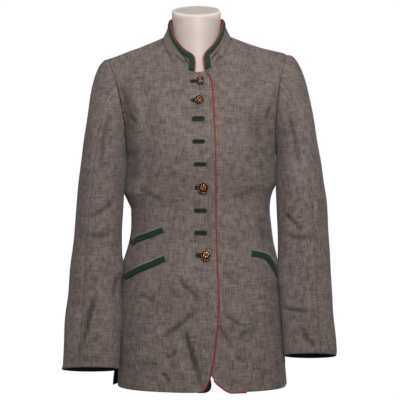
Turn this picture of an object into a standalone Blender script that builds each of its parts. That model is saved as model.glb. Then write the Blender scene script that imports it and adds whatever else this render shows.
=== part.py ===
"""A long Alpine blazer with a stand collar on a limbless dress form.

Metres, +Z up. The front faces -Y, the wearer's right side is at -X. The origin is the
centre of the form's flat base, which stands on the ground plane.
"""

import math

import bpy
import numpy as np
from mathutils import Vector

# Cloth
WALL = 0.0018
SEAM_GAP = 0.0003
SLEEVE_SEAM_GAP = 0.0006
ARMHOLE_GAP = 0.0010
ARMPIT_GAP = 0.0012
OVERLAP_LIFT = 0.0024
OVERLAP_START = -0.075
OVERLAP_FULL = -0.035

# Heights
HEM = 0.008
ARMPIT = 0.490
VENT_TOP = 0.192
VENT_GAP = 0.006
FLARE = 0.012
FLARE_TOP = 0.10
FLARE_LEFT_SHARE = 0.2

# Lengths of cloth that turn a gap in metres into a share of a panel: from the middle of
# the front or the back to a side seam, and from the armpit up to the shoulder.
FRONT_HALF_LENGTH = 0.22
BACK_HALF_LENGTH = 0.20
SWEEP_LENGTH = 0.30
SHOULDER_GAP = SEAM_GAP / SWEEP_LENGTH
CORNER_HEIGHT = 0.010
CORNER_CUT = 0.010
VENT_RAMP = 0.030

# Heights of the rows of facets below the armpit, and how many rows there are above it.
ROW_HEIGHTS = (
    0.008, 0.0105, 0.018, 0.032, 0.060, 0.100, 0.145, 0.190, 0.230, 0.265,
    0.300, 0.335, 0.360, 0.378, 0.396, 0.412, 0.434, 0.460, 0.490,
)
UPPER_ROWS = 8
# Columns of facets from the side to the neck, and from the neck to a front's edge.
SIDE_COLUMNS = 7
MIDDLE_COLUMNS = 6
BACK_MIDDLE_COLUMNS = 9

# The body below the armpit: reach to each side, to the front and to the back,
# and how square the ring is on the left front, the right front and the back.
BODY_COLUMNS = ("height", "left", "right", "front", "back", "square_l", "square_r", "square_b")
BODY_ROWS = (
    (0.008, 0.1720, 0.1800, 0.128, 0.128, 2.20, 2.30, 2.3),
    (0.060, 0.1725, 0.1775, 0.128, 0.127, 2.20, 2.30, 2.3),
    (0.120, 0.1715, 0.1745, 0.128, 0.125, 2.20, 2.35, 2.3),
    (0.200, 0.1690, 0.1660, 0.126, 0.120, 2.25, 2.40, 2.3),
    (0.260, 0.1620, 0.1630, 0.122, 0.110, 2.30, 2.45, 2.2),
    (0.304, 0.1500, 0.1550, 0.117, 0.098, 2.30, 2.50, 2.2),
    (0.340, 0.1445, 0.1490, 0.114, 0.090, 2.25, 2.50, 2.2),
    (0.375, 0.1440, 0.1465, 0.113, 0.088, 2.20, 2.40, 2.2),
    (0.396, 0.1525, 0.1480, 0.116, 0.092, 2.20, 2.30, 2.2),
    (0.412, 0.1590, 0.1520, 0.119, 0.096, 2.20, 2.25, 2.2),
    (0.434, 0.1585, 0.1605, 0.122, 0.100, 2.20, 2.20, 2.2),
    (0.460, 0.1570, 0.1600, 0.125, 0.104, 2.20, 2.20, 2.2),
    (0.490, 0.1560, 0.1590, 0.125, 0.106, 2.20, 2.20, 2.2),
)

# The line of the shoulders, seen from the front, carried on over the neck as a low crown.
SHOULDER_COLUMNS = ("x", "y", "height")
SHOULDER_ROWS = (
    (-0.196, 0.002, 0.6915),
    (-0.152, 0.006, 0.7072),
    (-0.110, 0.009, 0.7240),
    (-0.078, 0.010, 0.7378),
    (-0.045, 0.012, 0.7520),
    (-0.005, 0.014, 0.7600),
    (0.035, 0.012, 0.7520),
    (0.065, 0.010, 0.7392),
    (0.107, 0.008, 0.7235),
    (0.146, 0.005, 0.7112),
    (0.185, 0.002, 0.7010),
)

# How the cloth leaves the armpit ring and meets the shoulder line, from the centre (0)
# to the armhole (1): outward, away from the wearer and upward.
SWEEP_COLUMNS = ("share", "start_out", "start_away", "start_up", "end_out", "end_away", "end_up")
FRONT_SWEEP = (
    (0.0, 0.000, 0.020, 0.170, 0.000, -0.180, 0.030),
    (0.5, 0.000, 0.030, 0.200, 0.000, -0.170, 0.030),
    (0.8, -0.015, 0.110, 0.230, 0.020, -0.190, 0.040),
    (1.0, -0.030, 0.200, 0.200, 0.050, -0.200, 0.060),
)
BACK_SWEEP = (
    (0.0, 0.000, 0.020, 0.260, 0.000, -0.220, -0.030),
    (0.5, 0.000, 0.020, 0.260, 0.000, -0.190, -0.030),
    (0.8, -0.015, 0.100, 0.235, 0.020, -0.190, 0.000),
    (1.0, -0.030, 0.185, 0.200, 0.050, -0.200, 0.030),
)

# The round hole for the neck, seen from above.
NECK_CENTRE = (-0.0065, 0.0015)
NECK_HALF = (0.0715, 0.0745)

# Where the two fronts end, seen from the front.
RIGHT_EDGE_COLUMNS = ("height", "x")
RIGHT_EDGE_ROWS = (
    (0.008, -0.0080),
    (0.010, 0.0024),
    (0.018, 0.0105),
    (0.032, 0.0170),
    (0.045, 0.0210),
    (0.072, 0.0265),
    (0.105, 0.0305),
    (0.140, 0.0345),
    (0.180, 0.0372),
    (0.196, 0.0370),
    (0.271, 0.0338),
    (0.323, 0.0320),
    (0.408, 0.0311),
    (0.477, 0.0307),
    (0.559, 0.0280),
    (0.599, 0.0261),
    (0.616, 0.0250),
    (0.630, 0.0236),
    (0.6415, 0.0214),
    (0.6506, 0.0178),
    (0.6560, 0.0120),
    (0.6610, 0.0020),
)
LEFT_EDGE_COLUMNS = ("height", "x")
LEFT_EDGE_ROWS = (
    (0.008, 0.0620),
    (0.012, 0.0530),
    (0.018, 0.0450),
    (0.027, 0.0340),
    (0.042, 0.0226),
    (0.072, 0.0040),
    (0.110, -0.0120),
    (0.160, -0.0230),
    (0.220, -0.0270),
    (0.600, -0.0270),
    (0.650, -0.0200),
    (0.668, -0.0100),
)

# Largest folds of the body, from (x, height) to (x, height) on the front or the back:
# half width and how far the cloth stands out.
FOLD_COLUMNS = ("side", "x0", "z0", "x1", "z1", "half_width", "rise")
FOLD_ROWS = (
    ("front", -0.147, 0.620, -0.137, 0.420, 0.018, 0.0040),
    ("front", -0.120, 0.600, -0.118, 0.440, 0.022, -0.0035),
    ("front", 0.132, 0.560, 0.128, 0.520, 0.022, -0.0045),
    ("front", 0.128, 0.350, 0.150, 0.240, 0.020, 0.0035),
    ("front", -0.034, 0.120, 0.000, 0.020, 0.020, -0.0040),
    ("front", -0.060, 0.200, -0.086, 0.090, 0.024, -0.0030),
    ("front", -0.125, 0.260, -0.132, 0.060, 0.028, 0.0035),
    ("front", 0.090, 0.150, 0.070, 0.050, 0.024, 0.0030),
    ("front", 0.050, 0.240, 0.066, 0.190, 0.018, -0.0025),
    ("back", -0.060, 0.480, -0.050, 0.360, 0.024, -0.0040),
    ("back", 0.070, 0.500, 0.052, 0.350, 0.024, -0.0040),
    ("back", -0.080, 0.260, -0.100, 0.050, 0.028, 0.0045),
    ("back", 0.010, 0.300, 0.004, 0.060, 0.026, -0.0040),
    ("back", 0.085, 0.240, 0.112, 0.040, 0.028, 0.0040),
)

# Sleeves: outer and inner reach, centre of the depth and half depth.
SLEEVE_COLUMNS = ("height", "outer", "inner", "middle", "half_depth")
RIGHT_SLEEVE_ROWS = (
    (0.030, 0.2865, 0.1662, -0.0570, 0.0285),
    (0.100, 0.2812, 0.1642, -0.0565, 0.0310),
    (0.159, 0.2770, 0.1618, -0.0530, 0.0350),
    (0.206, 0.2728, 0.1622, -0.0490, 0.0400),
    (0.264, 0.2680, 0.1625, -0.0440, 0.0460),
    (0.325, 0.2630, 0.1610, -0.0370, 0.0530),
    (0.398, 0.2545, 0.1585, -0.0290, 0.0610),
    (0.440, 0.2495, 0.1570, -0.0240, 0.0660),
)
LEFT_SLEEVE_ROWS = (
    (0.060, 0.2828, 0.1740, -0.0570, 0.0285),
    (0.129, 0.2765, 0.1700, -0.0565, 0.0330),
    (0.184, 0.2725, 0.1640, -0.0540, 0.0365),
    (0.218, 0.2710, 0.1618, -0.0510, 0.0400),
    (0.266, 0.2692, 0.1604, -0.0470, 0.0450),
    (0.336, 0.2660, 0.1600, -0.0380, 0.0530),
    (0.396, 0.2634, 0.1600, -0.0300, 0.0610),
    (0.440, 0.2572, 0.1590, -0.0250, 0.0660),
)
SLEEVE_TUBE_TOP = 0.440
CUFF_HEIGHT = {"right": 0.047, "left": 0.075}
CUFF_DROP = 0.008
# The two seams down a sleeve, in steps of a sixteenth of a turn, as the armhole's rows are.
SLEEVE_STEPS = 16
SLEEVE_SEAMS = (3, 11)
TUBE_ROWS = 9
CAP_ROWS = 7
# How the cloth leaves the armhole, at its top and halfway down, and arrives in the tube.
CAP_TOP_OUT = 0.120
CAP_TOP_DOWN = 0.020
CAP_SIDE_OUT = 0.020
CAP_SIDE_AHEAD = 0.030
CAP_LOW_DOWN = 0.9
CAP_ARRIVE_OUT = 0.040
CAP_ARRIVE_DOWN = 1.15

# Stand collar: a strip cut flat, with rounded front corners.
COLLAR_HEIGHT = 0.040
COLLAR_CORNER = 0.012
COLLAR_WALL = 0.0022
COLLAR_TOP_CENTRE = (-0.0070, 0.0070)
COLLAR_TOP_HALF = (0.0560, 0.0600)
COLLAR_TOP_SIDE = 0.775
COLLAR_TOP_FRONT_DROP = 0.0700
COLLAR_TOP_BACK_RISE = 0.0090
COLLAR_GAP_ANGLE = math.radians(9.4)
COLLAR_TURN = math.radians(-5.3)
COLLAR_LENGTH = 0.400
COLLAR_SEAM_GAP = 0.0006
COLLAR_BOW = 0.0012
BAND_FOOT = 0.0012
BAND_GAP = 0.0006
BAND_WIDTH = 0.0115
BAND_WALL = 0.0010
PIPING_RADIUS = 0.0014
PIPING_GAP = 0.0004
PIPING_SINK = 0.0004
LEFT_PIPING_TOP = 0.034
HEM_PIPING_END = 0.095
HEM_PIPING_POINTS = 7

# Bound buttonholes, down the middle of the front: x and height of each centre.
BUTTONHOLE_COLUMNS = ("x", "height", "button_x", "button_radius")
BUTTONHOLE_ROWS = (
    (-0.0070, 0.6376, 0.0006, 0.0085),
    (-0.0050, 0.5980, -0.0019, 0.0085),
    (-0.0034, 0.5600, 0.0, 0.0),
    (-0.0022, 0.5133, 0.0, 0.0),
    (0.0004, 0.4677, 0.0, 0.0),
    (0.0020, 0.4218, 0.0062, 0.0110),
    (0.0006, 0.3749, 0.0, 0.0),
    (0.0014, 0.3294, 0.0, 0.0),
    (0.0040, 0.2843, 0.0120, 0.0110),
)
BUTTONHOLE_HALF = (0.0130, 0.0045)
BUTTONHOLE_LIP = 0.0009
BUTTONHOLE_WALL = 0.0006
SLIT_HALF = 0.0009
BUTTON_HEIGHT = 0.0060
SHANK_RADIUS = 0.0018
SHANK_LENGTH = 0.0022

# Welts of the pockets: the middle line of each green band, seen from the front.
WELT_COLUMNS = ("x", "height")
WELT_ROWS = {
    "upper_right": (
        (-0.0747, 0.3351),
        (-0.0991, 0.3254),
        (-0.1262, 0.3157),
        (-0.1412, 0.3065),
    ),
    "lower_right": (
        (-0.0712, 0.2774),
        (-0.0991, 0.2646),
        (-0.1262, 0.2520),
        (-0.1470, 0.2415),
        (-0.1550, 0.2360),
    ),
    "left": (
        (0.1042, 0.2872),
        (0.1202, 0.2837),
        (0.1345, 0.2775),
        (0.1440, 0.2650),
        (0.1530, 0.2500),
        (0.1580, 0.2400),
    ),
}
WELT_GAP = {"upper_right": 0.0014, "lower_right": 0.0014, "left": 0.0008}
WELT_HALF = 0.0058
WELT_WALL = 0.0014
LIP_HALF = 0.0013
LIP_WALL = 0.0010
WELT_POINTS = 8

# The dress form below the shoulders, with a flat foot.
FORM_COLUMNS = ("height", "half_width", "front", "back")
FORM_ROWS = (
    (0.000, 0.108, 0.074, 0.080),
    (0.060, 0.120, 0.082, 0.090),
    (0.150, 0.136, 0.091, 0.101),
    (0.230, 0.140, 0.092, 0.096),
    (0.300, 0.128, 0.086, 0.080),
    (0.370, 0.117, 0.086, 0.070),
    (0.420, 0.124, 0.098, 0.078),
    (0.470, 0.136, 0.108, 0.088),
)
FORM_SQUARE = 2.15
FORM_SPAN = 0.92
FORM_SIDE_BULGE = 0.010
# Clearance between the cloth's outer face and the form, going up from the armpit.
FORM_CLEAR_ROWS = ((1.0, 0.0160), (1.3, 0.0090), (1.6, 0.0040), (1.8, 0.0020), (1.87, 0.0007))
FORM_NECK_CLEAR = 0.0050
FORM_BACK_CLEAR = 0.0016
FORM_LEVEL_ROWS = (1, 3, 5, 6, 7, 8)
FORM_NECK_CENTRE = (-0.0075, 0.007)
FORM_NECK_RINGS = (
    (0.640, 0.0600, 0.0560),
    (0.690, 0.0545, 0.0530),
    (0.725, 0.0522, 0.0512),
    (0.750, 0.0516, 0.0506),
)
FORM_NECK_FRONT = 0.779
FORM_NECK_BACK = 0.812

COLOURS = {
    "linen": (0.165, 0.130, 0.112, 1.0),
    "green": (0.022, 0.062, 0.025, 1.0),
    "red": (0.200, 0.025, 0.020, 1.0),
    "grey_lip": (0.300, 0.290, 0.270, 1.0),
    "brass": (0.420, 0.300, 0.140, 1.0),
    "cream": (0.640, 0.550, 0.500, 1.0),
}
ROUGH = {"linen": 0.9, "green": 0.95, "red": 0.8, "grey_lip": 0.8, "brass": 0.35, "cream": 0.25}


def table(columns, rows):
    """Each column of a table as an array."""
    return {name: np.array([row[k] for row in rows]) for k, name in enumerate(columns)}


def smooth(x, xs, ys):
    """A smooth curve through a table, with slopes limited so that it never overshoots."""
    x = np.clip(np.asarray(x, float), xs[0], xs[-1])
    steps = np.diff(xs)
    slopes = np.diff(ys) / steps
    inner = slopes[:-1] * slopes[1:]
    mean = 2 * inner / np.where(inner > 0, slopes[:-1] + slopes[1:], 1)
    tangents = np.concatenate([[slopes[0]], np.where(inner > 0, mean, 0), [slopes[-1]]])
    i = np.clip(np.searchsorted(xs, x, side="right") - 1, 0, len(xs) - 2)
    t = (x - xs[i]) / steps[i]
    start = (1 + 2 * t) * (1 - t) ** 2 * ys[i] + t * (1 - t) ** 2 * steps[i] * tangents[i]
    end = t * t * (3 - 2 * t) * ys[i + 1] + t * t * (t - 1) * steps[i] * tangents[i + 1]
    return start + end


def ease(x):
    """0 below 0, 1 above 1, and a soft step between."""
    x = np.clip(x, 0, 1)
    return x * x * (3 - 2 * x)


LEVELS = (np.array(ROW_HEIGHTS) - HEM) / (ARMPIT - HEM)
BODY = table(BODY_COLUMNS, BODY_ROWS)
SHOULDER = table(SHOULDER_COLUMNS, SHOULDER_ROWS)
FRONT = table(SWEEP_COLUMNS, FRONT_SWEEP)
BACK = table(SWEEP_COLUMNS, BACK_SWEEP)
FORM = table(FORM_COLUMNS, FORM_ROWS)
RIGHT_EDGE = table(RIGHT_EDGE_COLUMNS, RIGHT_EDGE_ROWS)
LEFT_EDGE = table(LEFT_EDGE_COLUMNS, LEFT_EDGE_ROWS)
FOLDS = table(FOLD_COLUMNS, FOLD_ROWS)
BUTTONHOLES = table(BUTTONHOLE_COLUMNS, BUTTONHOLE_ROWS)
WELTS = {name: table(WELT_COLUMNS, rows) for name, rows in WELT_ROWS.items()}
SLEEVES = {
    "right": table(SLEEVE_COLUMNS, RIGHT_SLEEVE_ROWS),
    "left": table(SLEEVE_COLUMNS, LEFT_SLEEVE_ROWS),
}


def body(column, z):
    return smooth(z, BODY["height"], BODY[column])


def ring(s, z, front):
    """A point of the body ring: s goes from -1 at one side seam to 1 at the other."""
    angle = s * math.pi / 2
    reach = np.where(s < 0, body("left", z), body("right", z))
    depth = body("front", z) if front else body("back", z)
    if front:
        power = np.where(s < 0, body("square_l", z), body("square_r", z))
    else:
        power = body("square_b", z)
    side, ahead = np.sin(angle), np.cos(angle)
    size = (np.abs(side / reach) ** power + np.abs(ahead / depth) ** power) ** (-1 / power)
    way = -1 if front else 1
    return np.stack([size * side, way * size * ahead, z + 0 * size], axis=-1)


def crown(s):
    """The point of the shoulder line, or of the crown over the neck, above a ring point."""
    base = ring(s, np.full_like(s, ARMPIT), True)[..., 0]
    tip = np.where(s < 0, -SHOULDER["x"][0], SHOULDER["x"][-1])
    side = np.where(s < 0, body("left", ARMPIT), body("right", ARMPIT))
    x = base * (1 + (tip / side - 1) * s * s)
    y = smooth(x, SHOULDER["x"], SHOULDER["y"])
    z = smooth(x, SHOULDER["x"], SHOULDER["height"])
    return np.stack([x, y, z], axis=-1)


def smooth_cloth(s, v, front=True):
    """A point of the cloth's outer face with no folds: v is 0 at the hem, 1 at the armpit
    and 2 on the shoulder line."""
    s, v = np.broadcast_arrays(np.asarray(s, float), np.asarray(v, float))
    low = ring(s, HEM + (ARMPIT - HEM) * np.clip(v, -0.1, 1), front)
    sweep = FRONT if front else BACK
    way = -1 if front else 1
    share, out = np.abs(s), np.sign(s)

    def pull(name):
        return smooth(share, sweep["share"], sweep[name])

    leave = np.stack(
        [out * pull("start_out"), way * pull("start_away"), pull("start_up")], axis=-1
    )
    meet = np.stack([out * pull("end_out"), way * pull("end_away"), pull("end_up")], axis=-1)
    t = np.clip(v - 1, 0, 1)[..., None]
    high = (
        (1 + 2 * t) * (1 - t) ** 2 * ring(s, np.full_like(s, ARMPIT), front)
        + t * (1 - t) ** 2 * leave
        + t * t * (3 - 2 * t) * crown(s)
        + t * t * (t - 1) * meet
    )
    return np.where((v > 1)[..., None], high, low)


def fold_rise(x, z, front):
    """How far the large folds lift the cloth at a place seen from the front or the back."""
    rise = np.zeros(np.shape(x))
    for side, x0, z0, x1, z1, half_width, height in zip(*FOLDS.values()):
        if (side == "front") != front:
            continue
        run_x, run_z = x1 - x0, z1 - z0
        length = math.hypot(run_x, run_z)
        along = ((x - x0) * run_x + (z - z0) * run_z) / length**2
        off = ((x - x0) * run_z - (z - z0) * run_x) / length
        past = np.maximum(np.maximum(-along, along - 1), 0) * length
        far = np.sqrt(off**2 + past**2) / half_width
        rise = rise + height * np.exp(-far * far)
    return rise


def face_normals(s, v, front):
    """The direction out of the smooth cloth on one side of the shoulder line."""
    step = 1e-4
    across = smooth_cloth(s + step, v, front) - smooth_cloth(s - step, v, front)
    up = smooth_cloth(s, np.clip(v, 0, 2 - step) + step, front)
    up = up - smooth_cloth(s, np.clip(v, step, 2) - step, front)
    n = np.cross(across, up) * (1 if front else -1)
    return n / np.linalg.norm(n, axis=-1, keepdims=True)


def normals(s, v, front):
    """The direction out of the cloth, which the front and the back share on the shoulder
    line."""
    n = face_normals(s, v, front)
    other = face_normals(s, np.full_like(s, 2.0), not front)
    own = face_normals(s, np.full_like(s, 2.0), front)
    share = ease((v - 1.88) / 0.12)[..., None]
    n = n * (1 - share) + share * (own + other) / 2
    return n / np.linalg.norm(n, axis=-1, keepdims=True)


def cloth(s, v, front=True, lift=0.0):
    """A point of the cloth's outer face, moved out by lift."""
    s, v = np.broadcast_arrays(np.asarray(s, float), np.asarray(v, float))
    p = smooth_cloth(s, v, front)
    quiet = ease((np.abs(s) - 0.76) / 0.16)
    rise = fold_rise(p[..., 0], p[..., 2], front) * (1 - quiet)
    return p + normals(s, v, front) * (rise + lift)[..., None]


def s_of_x(x, v, front=True):
    """The s whose smooth cloth point has this x."""
    low = np.full(np.broadcast(x, v).shape, -0.999)
    high = -low
    for _ in range(32):
        middle = (low + high) / 2
        left = smooth_cloth(middle, v, front)[..., 0] < x
        low = np.where(left, middle, low)
        high = np.where(left, high, middle)
    return (low + high) / 2


def v_of_z(s, z):
    """The v at which the smooth front at s has this height."""
    low = np.zeros(np.broadcast(s, z).shape)
    high = low + 2
    for _ in range(32):
        middle = (low + high) / 2
        under = smooth_cloth(s, middle)[..., 2] < z
        low = np.where(under, middle, low)
        high = np.where(under, high, middle)
    return (low + high) / 2


def front_place(x, z):
    """s and v of the place on the front that is seen at (x, z)."""
    x, z = np.broadcast_arrays(np.asarray(x, float), np.asarray(z, float))
    v = (z - HEM) / (ARMPIT - HEM)
    for _ in range(6):
        s = s_of_x(x, np.clip(v, 0, 2))
        v = v_of_z(s, z)
    return s, v


def on_panel(s, v, lift):
    """A point on the flat facets of a front between its rows, moved out by lift."""
    k = np.clip(np.searchsorted(LEVELS, v, side="right") - 1, 0, len(LEVELS) - 2)
    share = np.clip((v - LEVELS[k]) / (LEVELS[k + 1] - LEVELS[k]), 0, 1)[..., None]
    flat = cloth(s, LEVELS[k], True, lift) * (1 - share)
    flat = flat + cloth(s, LEVELS[k + 1], True, lift) * share
    return np.where((v > 1)[..., None], cloth(s, v, True, lift), flat)


def overlap_lift(x):
    """The right front lies over the left one near the middle."""
    return OVERLAP_LIFT * ease((x - OVERLAP_START) / (OVERLAP_FULL - OVERLAP_START))


def neck_level(s, v, front):
    """Below 1 inside the neck hole, above 1 outside."""
    p = smooth_cloth(s, v, front)
    across = (p[..., 0] - NECK_CENTRE[0]) / NECK_HALF[0]
    deep = (p[..., 1] - NECK_CENTRE[1]) / NECK_HALF[1]
    return across**2 + deep**2


def neckline_v(s, front):
    """The v at which the cloth at s reaches the neck hole, or 2 outside it."""
    low = np.full(np.shape(s), 1.2)
    high = np.full(np.shape(s), 2.0)
    for _ in range(32):
        middle = (low + high) / 2
        outside = neck_level(s, middle, front) > 1
        low = np.where(outside, middle, low)
        high = np.where(outside, high, middle)
    return high


def neck_point_s(sign):
    """The s where the shoulder line meets the neck hole."""
    low, high = 0.05, 0.95
    for _ in range(40):
        middle = (low + high) / 2
        if neck_level(np.array(sign * middle), np.array(2.0), True) > 1:
            high = middle
        else:
            low = middle
    return sign * (low + high) / 2


def clear_scene():
    for thing in list(bpy.data.objects):
        bpy.data.objects.remove(thing, do_unlink=True)


def new_collection(name):
    collection = bpy.data.collections.new(name)
    bpy.context.scene.collection.children.link(collection)
    return collection


def make_materials():
    made = {}
    for name, colour in COLOURS.items():
        material = bpy.data.materials.new(name)
        material.use_nodes = True
        shader = material.node_tree.nodes["Principled BSDF"]
        shader.inputs["Base Color"].default_value = colour
        shader.inputs["Roughness"].default_value = ROUGH[name]
        shader.inputs["Metallic"].default_value = 1.0 if name == "brass" else 0.0
        made[name] = material
    return made


clear_scene()
PARTS = new_collection("alpine_blazer")
CUTTERS = new_collection("cutters")
MATERIALS = make_materials()


def add_object(name, mesh, material, collection=PARTS):
    thing = bpy.data.objects.new(name, mesh)
    mesh.materials.append(MATERIALS[material])
    mesh.shade_smooth()
    collection.objects.link(thing)
    return thing


def mesh_of(name, vertices, faces):
    mesh = bpy.data.meshes.new(name)
    mesh.from_pydata([tuple(p) for p in vertices], [], faces)
    mesh.validate()
    return mesh


def grid_faces(rows, columns, wrap=False):
    """The faces of a grid whose rows go up and whose columns go to the right, seen from
    outside."""
    faces = []
    for j in range(rows - 1):
        for i in range(columns if wrap else columns - 1):
            k = (i + 1) % columns
            faces.append((j * columns + i, j * columns + k, (j + 1) * columns + k,
                          (j + 1) * columns + i))
    return faces


def wall_piece(name, outer, away, material, wall, flip=False):
    """A closed wall between a grid of outer points and the same points moved inward.
    Rows go up and columns go to the right, seen from outside, unless it is flipped."""
    rows, columns = outer.shape[:2]
    count = rows * columns
    inner = outer - away * wall
    faces = grid_faces(rows, columns)
    faces += [tuple(k + count for k in face[::-1]) for face in grid_faces(rows, columns)]
    rim = [j * columns for j in range(rows - 1, 0, -1)]
    rim += list(range(columns - 1))
    rim += [j * columns + columns - 1 for j in range(rows - 1)]
    rim += [(rows - 1) * columns + i for i in range(columns - 1, 0, -1)]
    for k, a in enumerate(rim):
        b = rim[(k + 1) % len(rim)]
        faces.append((b, a, a + count, b + count))
    if flip:
        faces = [face[::-1] for face in faces]
    points = np.concatenate([outer.reshape(-1, 3), inner.reshape(-1, 3)])
    return add_object(name, mesh_of(name, points, faces), material)


def side_inset(v):
    """How far a front ends before the side seam, as a share of the half ring."""
    z = HEM + (ARMPIT - HEM) * v
    gap = SEAM_GAP + VENT_GAP * ease((VENT_TOP - z) / VENT_RAMP)
    corner = CORNER_CUT * np.clip((HEM + CORNER_HEIGHT - z) / CORNER_HEIGHT, 0, 1) ** 2
    return np.where(v < 1, gap + corner, SEAM_GAP) / FRONT_HALF_LENGTH


def edge_curve(edge):
    """The levels up a front's edge and the s of the edge at each."""
    v = np.concatenate([np.linspace(0, 0.06, 13), np.linspace(0.08, 0.3, 10), np.linspace(0.35, 2, 34)])
    s = np.zeros_like(v)
    for _ in range(6):
        z = smooth_cloth(s, v)[..., 2]
        s = s_of_x(smooth(z, edge["height"], edge["x"]), v)
    return v, s


def front_panel(name, sign, edge, lift_of):
    """One front, from its side seam and armhole to its edge, shoulder seam and neckline."""
    neck_s = neck_point_s(sign)
    edge_v, edge_s = edge_curve(edge)
    side = np.linspace(0, 1, SIDE_COLUMNS)
    middle = np.linspace(0, 1, MIDDLE_COLUMNS + 1)[1:]

    def s_at(v):
        outer = sign * (1 - side_inset(v[:SIDE_COLUMNS]))
        inner = np.interp(v[SIDE_COLUMNS:], edge_v, edge_s)
        return np.concatenate([
            outer + (neck_s - outer) * side[:, None],
            neck_s + (inner - neck_s) * middle[:, None],
        ])

    low = np.full((SIDE_COLUMNS + MIDDLE_COLUMNS, 1), 1.2)
    high = np.full_like(low, 2.0)
    for _ in range(30):
        half = (low + high) / 2
        outside = neck_level(s_at(half), half, True) > 1
        low = np.where(outside, half, low)
        high = np.where(outside, high, half)
    top = high - SHOULDER_GAP
    upper = 1 + (top - 1) * np.linspace(0, 1, UPPER_ROWS + 1)[1:]
    v = np.concatenate([np.broadcast_to(LEVELS, (len(top), len(LEVELS))), upper], axis=1)
    s = s_at(v)
    lift = lift_of(smooth_cloth(s, v)[..., 0])
    outer = cloth(s, v, True, lift).transpose(1, 0, 2)
    away = normals(s, v, True).transpose(1, 0, 2)
    if sign > 0:
        outer, away = outer[:, ::-1], away[:, ::-1]
    return wall_piece(name, outer, away, "linen", WALL)


def back_panel():
    """The back in one piece, between the side seams, armholes, shoulder seams and neck."""
    left_neck, right_neck = neck_point_s(-1), neck_point_s(1)
    share = np.concatenate([
        np.linspace(-1, left_neck, SIDE_COLUMNS),
        np.linspace(left_neck, right_neck, BACK_MIDDLE_COLUMNS)[1:-1],
        np.linspace(right_neck, 1, SIDE_COLUMNS),
    ])
    top = neckline_v(share, False) - SHOULDER_GAP
    upper = 1 + (top[:, None] - 1) * np.linspace(0, 1, UPPER_ROWS + 1)[1:]
    v = np.concatenate([np.broadcast_to(LEVELS, (len(top), len(LEVELS))), upper], axis=1)
    side = np.clip((np.abs(share) - 0.6) / 0.4, 0, 1)[:, None]
    s = share[:, None] - np.sign(share[:, None]) * SEAM_GAP / BACK_HALF_LENGTH * side + 0 * v
    outer = cloth(s, v, False)
    z = HEM + (ARMPIT - HEM) * v
    flare = FLARE * ease((FLARE_TOP - z) / FLARE_TOP) * side**2
    outer[..., 0] += np.where(s < 0, -flare, FLARE_LEFT_SHARE * flare)
    away = normals(s, v, False)
    outer, away = outer.transpose(1, 0, 2), away.transpose(1, 0, 2)
    return wall_piece("back", outer, away, "linen", WALL, flip=True)


def armhole(angle, side):
    """Where the sleeve starts, just off the armhole's edge: angle 0 on the shoulder, a
    quarter turn at the front and half a turn at the armpit."""
    sign = -1 if side == "right" else 1
    s = np.full_like(angle, sign * 0.9995)
    front = angle <= math.pi
    v = np.where(front, 2 - angle / math.pi, angle / math.pi)
    p = np.where(front[..., None], smooth_cloth(s, v, True), smooth_cloth(s, v, False))
    n = np.where(front[..., None], normals(s, v, True), normals(s, v, False))
    low = (1 - np.cos(angle)) / 2
    p = p + np.array([sign * ARMHOLE_GAP, 0, 0]) + n * (ARMPIT_GAP * low)[..., None]
    return p


def sleeve_ring(angle, z, side):
    """A point of the sleeve's outer face at a height."""
    rows = SLEEVES[side]
    sign = -1 if side == "right" else 1
    outer = smooth(z, rows["height"], rows["outer"])
    inner = smooth(z, rows["height"], rows["inner"])
    middle = smooth(z, rows["height"], rows["middle"])
    half = smooth(z, rows["height"], rows["half_depth"])
    x = sign * ((outer + inner) / 2 + (outer - inner) / 2 * np.cos(angle))
    y = middle - half * np.sin(angle)
    return np.stack([x, y, z + 0 * x], axis=-1)


def sleeve_cap(angle, t, side):
    """From the armhole (t = 0) to the top of the sleeve's tube (t = 1)."""
    sign = -1 if side == "right" else 1
    start = armhole(angle, side)
    end = sleeve_ring(angle, np.full_like(angle, SLEEVE_TUBE_TOP), side)
    drop = (start[..., 2] - SLEEVE_TUBE_TOP) * CAP_ARRIVE_DOWN
    top = np.cos(angle / 2) ** 2
    out = sign * (CAP_TOP_OUT * top + CAP_SIDE_OUT * (1 - top) * np.sin(angle) ** 2)
    away = -CAP_SIDE_AHEAD * np.sin(angle)
    down = CAP_TOP_DOWN * top + CAP_LOW_DOWN * drop * (1 - top)
    leave = np.stack([out, away, -down], axis=-1)
    arrive = np.stack([sign * CAP_ARRIVE_OUT * top, 0 * top, -drop], axis=-1)
    t = t[..., None]
    return (
        (1 + 2 * t) * (1 - t) ** 2 * start
        + t * (1 - t) ** 2 * leave
        + t * t * (3 - 2 * t) * end
        + t * t * (t - 1) * arrive
    )


def sleeve(angle, w, side):
    """A point of the sleeve's outer face: w is 0 at the cuff, 1 at the top of the tube and
    2 at the armhole."""
    cuff = CUFF_HEIGHT[side] + CUFF_DROP * np.sin(angle)
    tube = sleeve_ring(angle, cuff + (SLEEVE_TUBE_TOP - cuff) * np.clip(w, 0, 1), side)
    cap = sleeve_cap(angle, np.clip(2 - w, 0, 1), side)
    return np.where((w > 1)[..., None], cap, tube)


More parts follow.
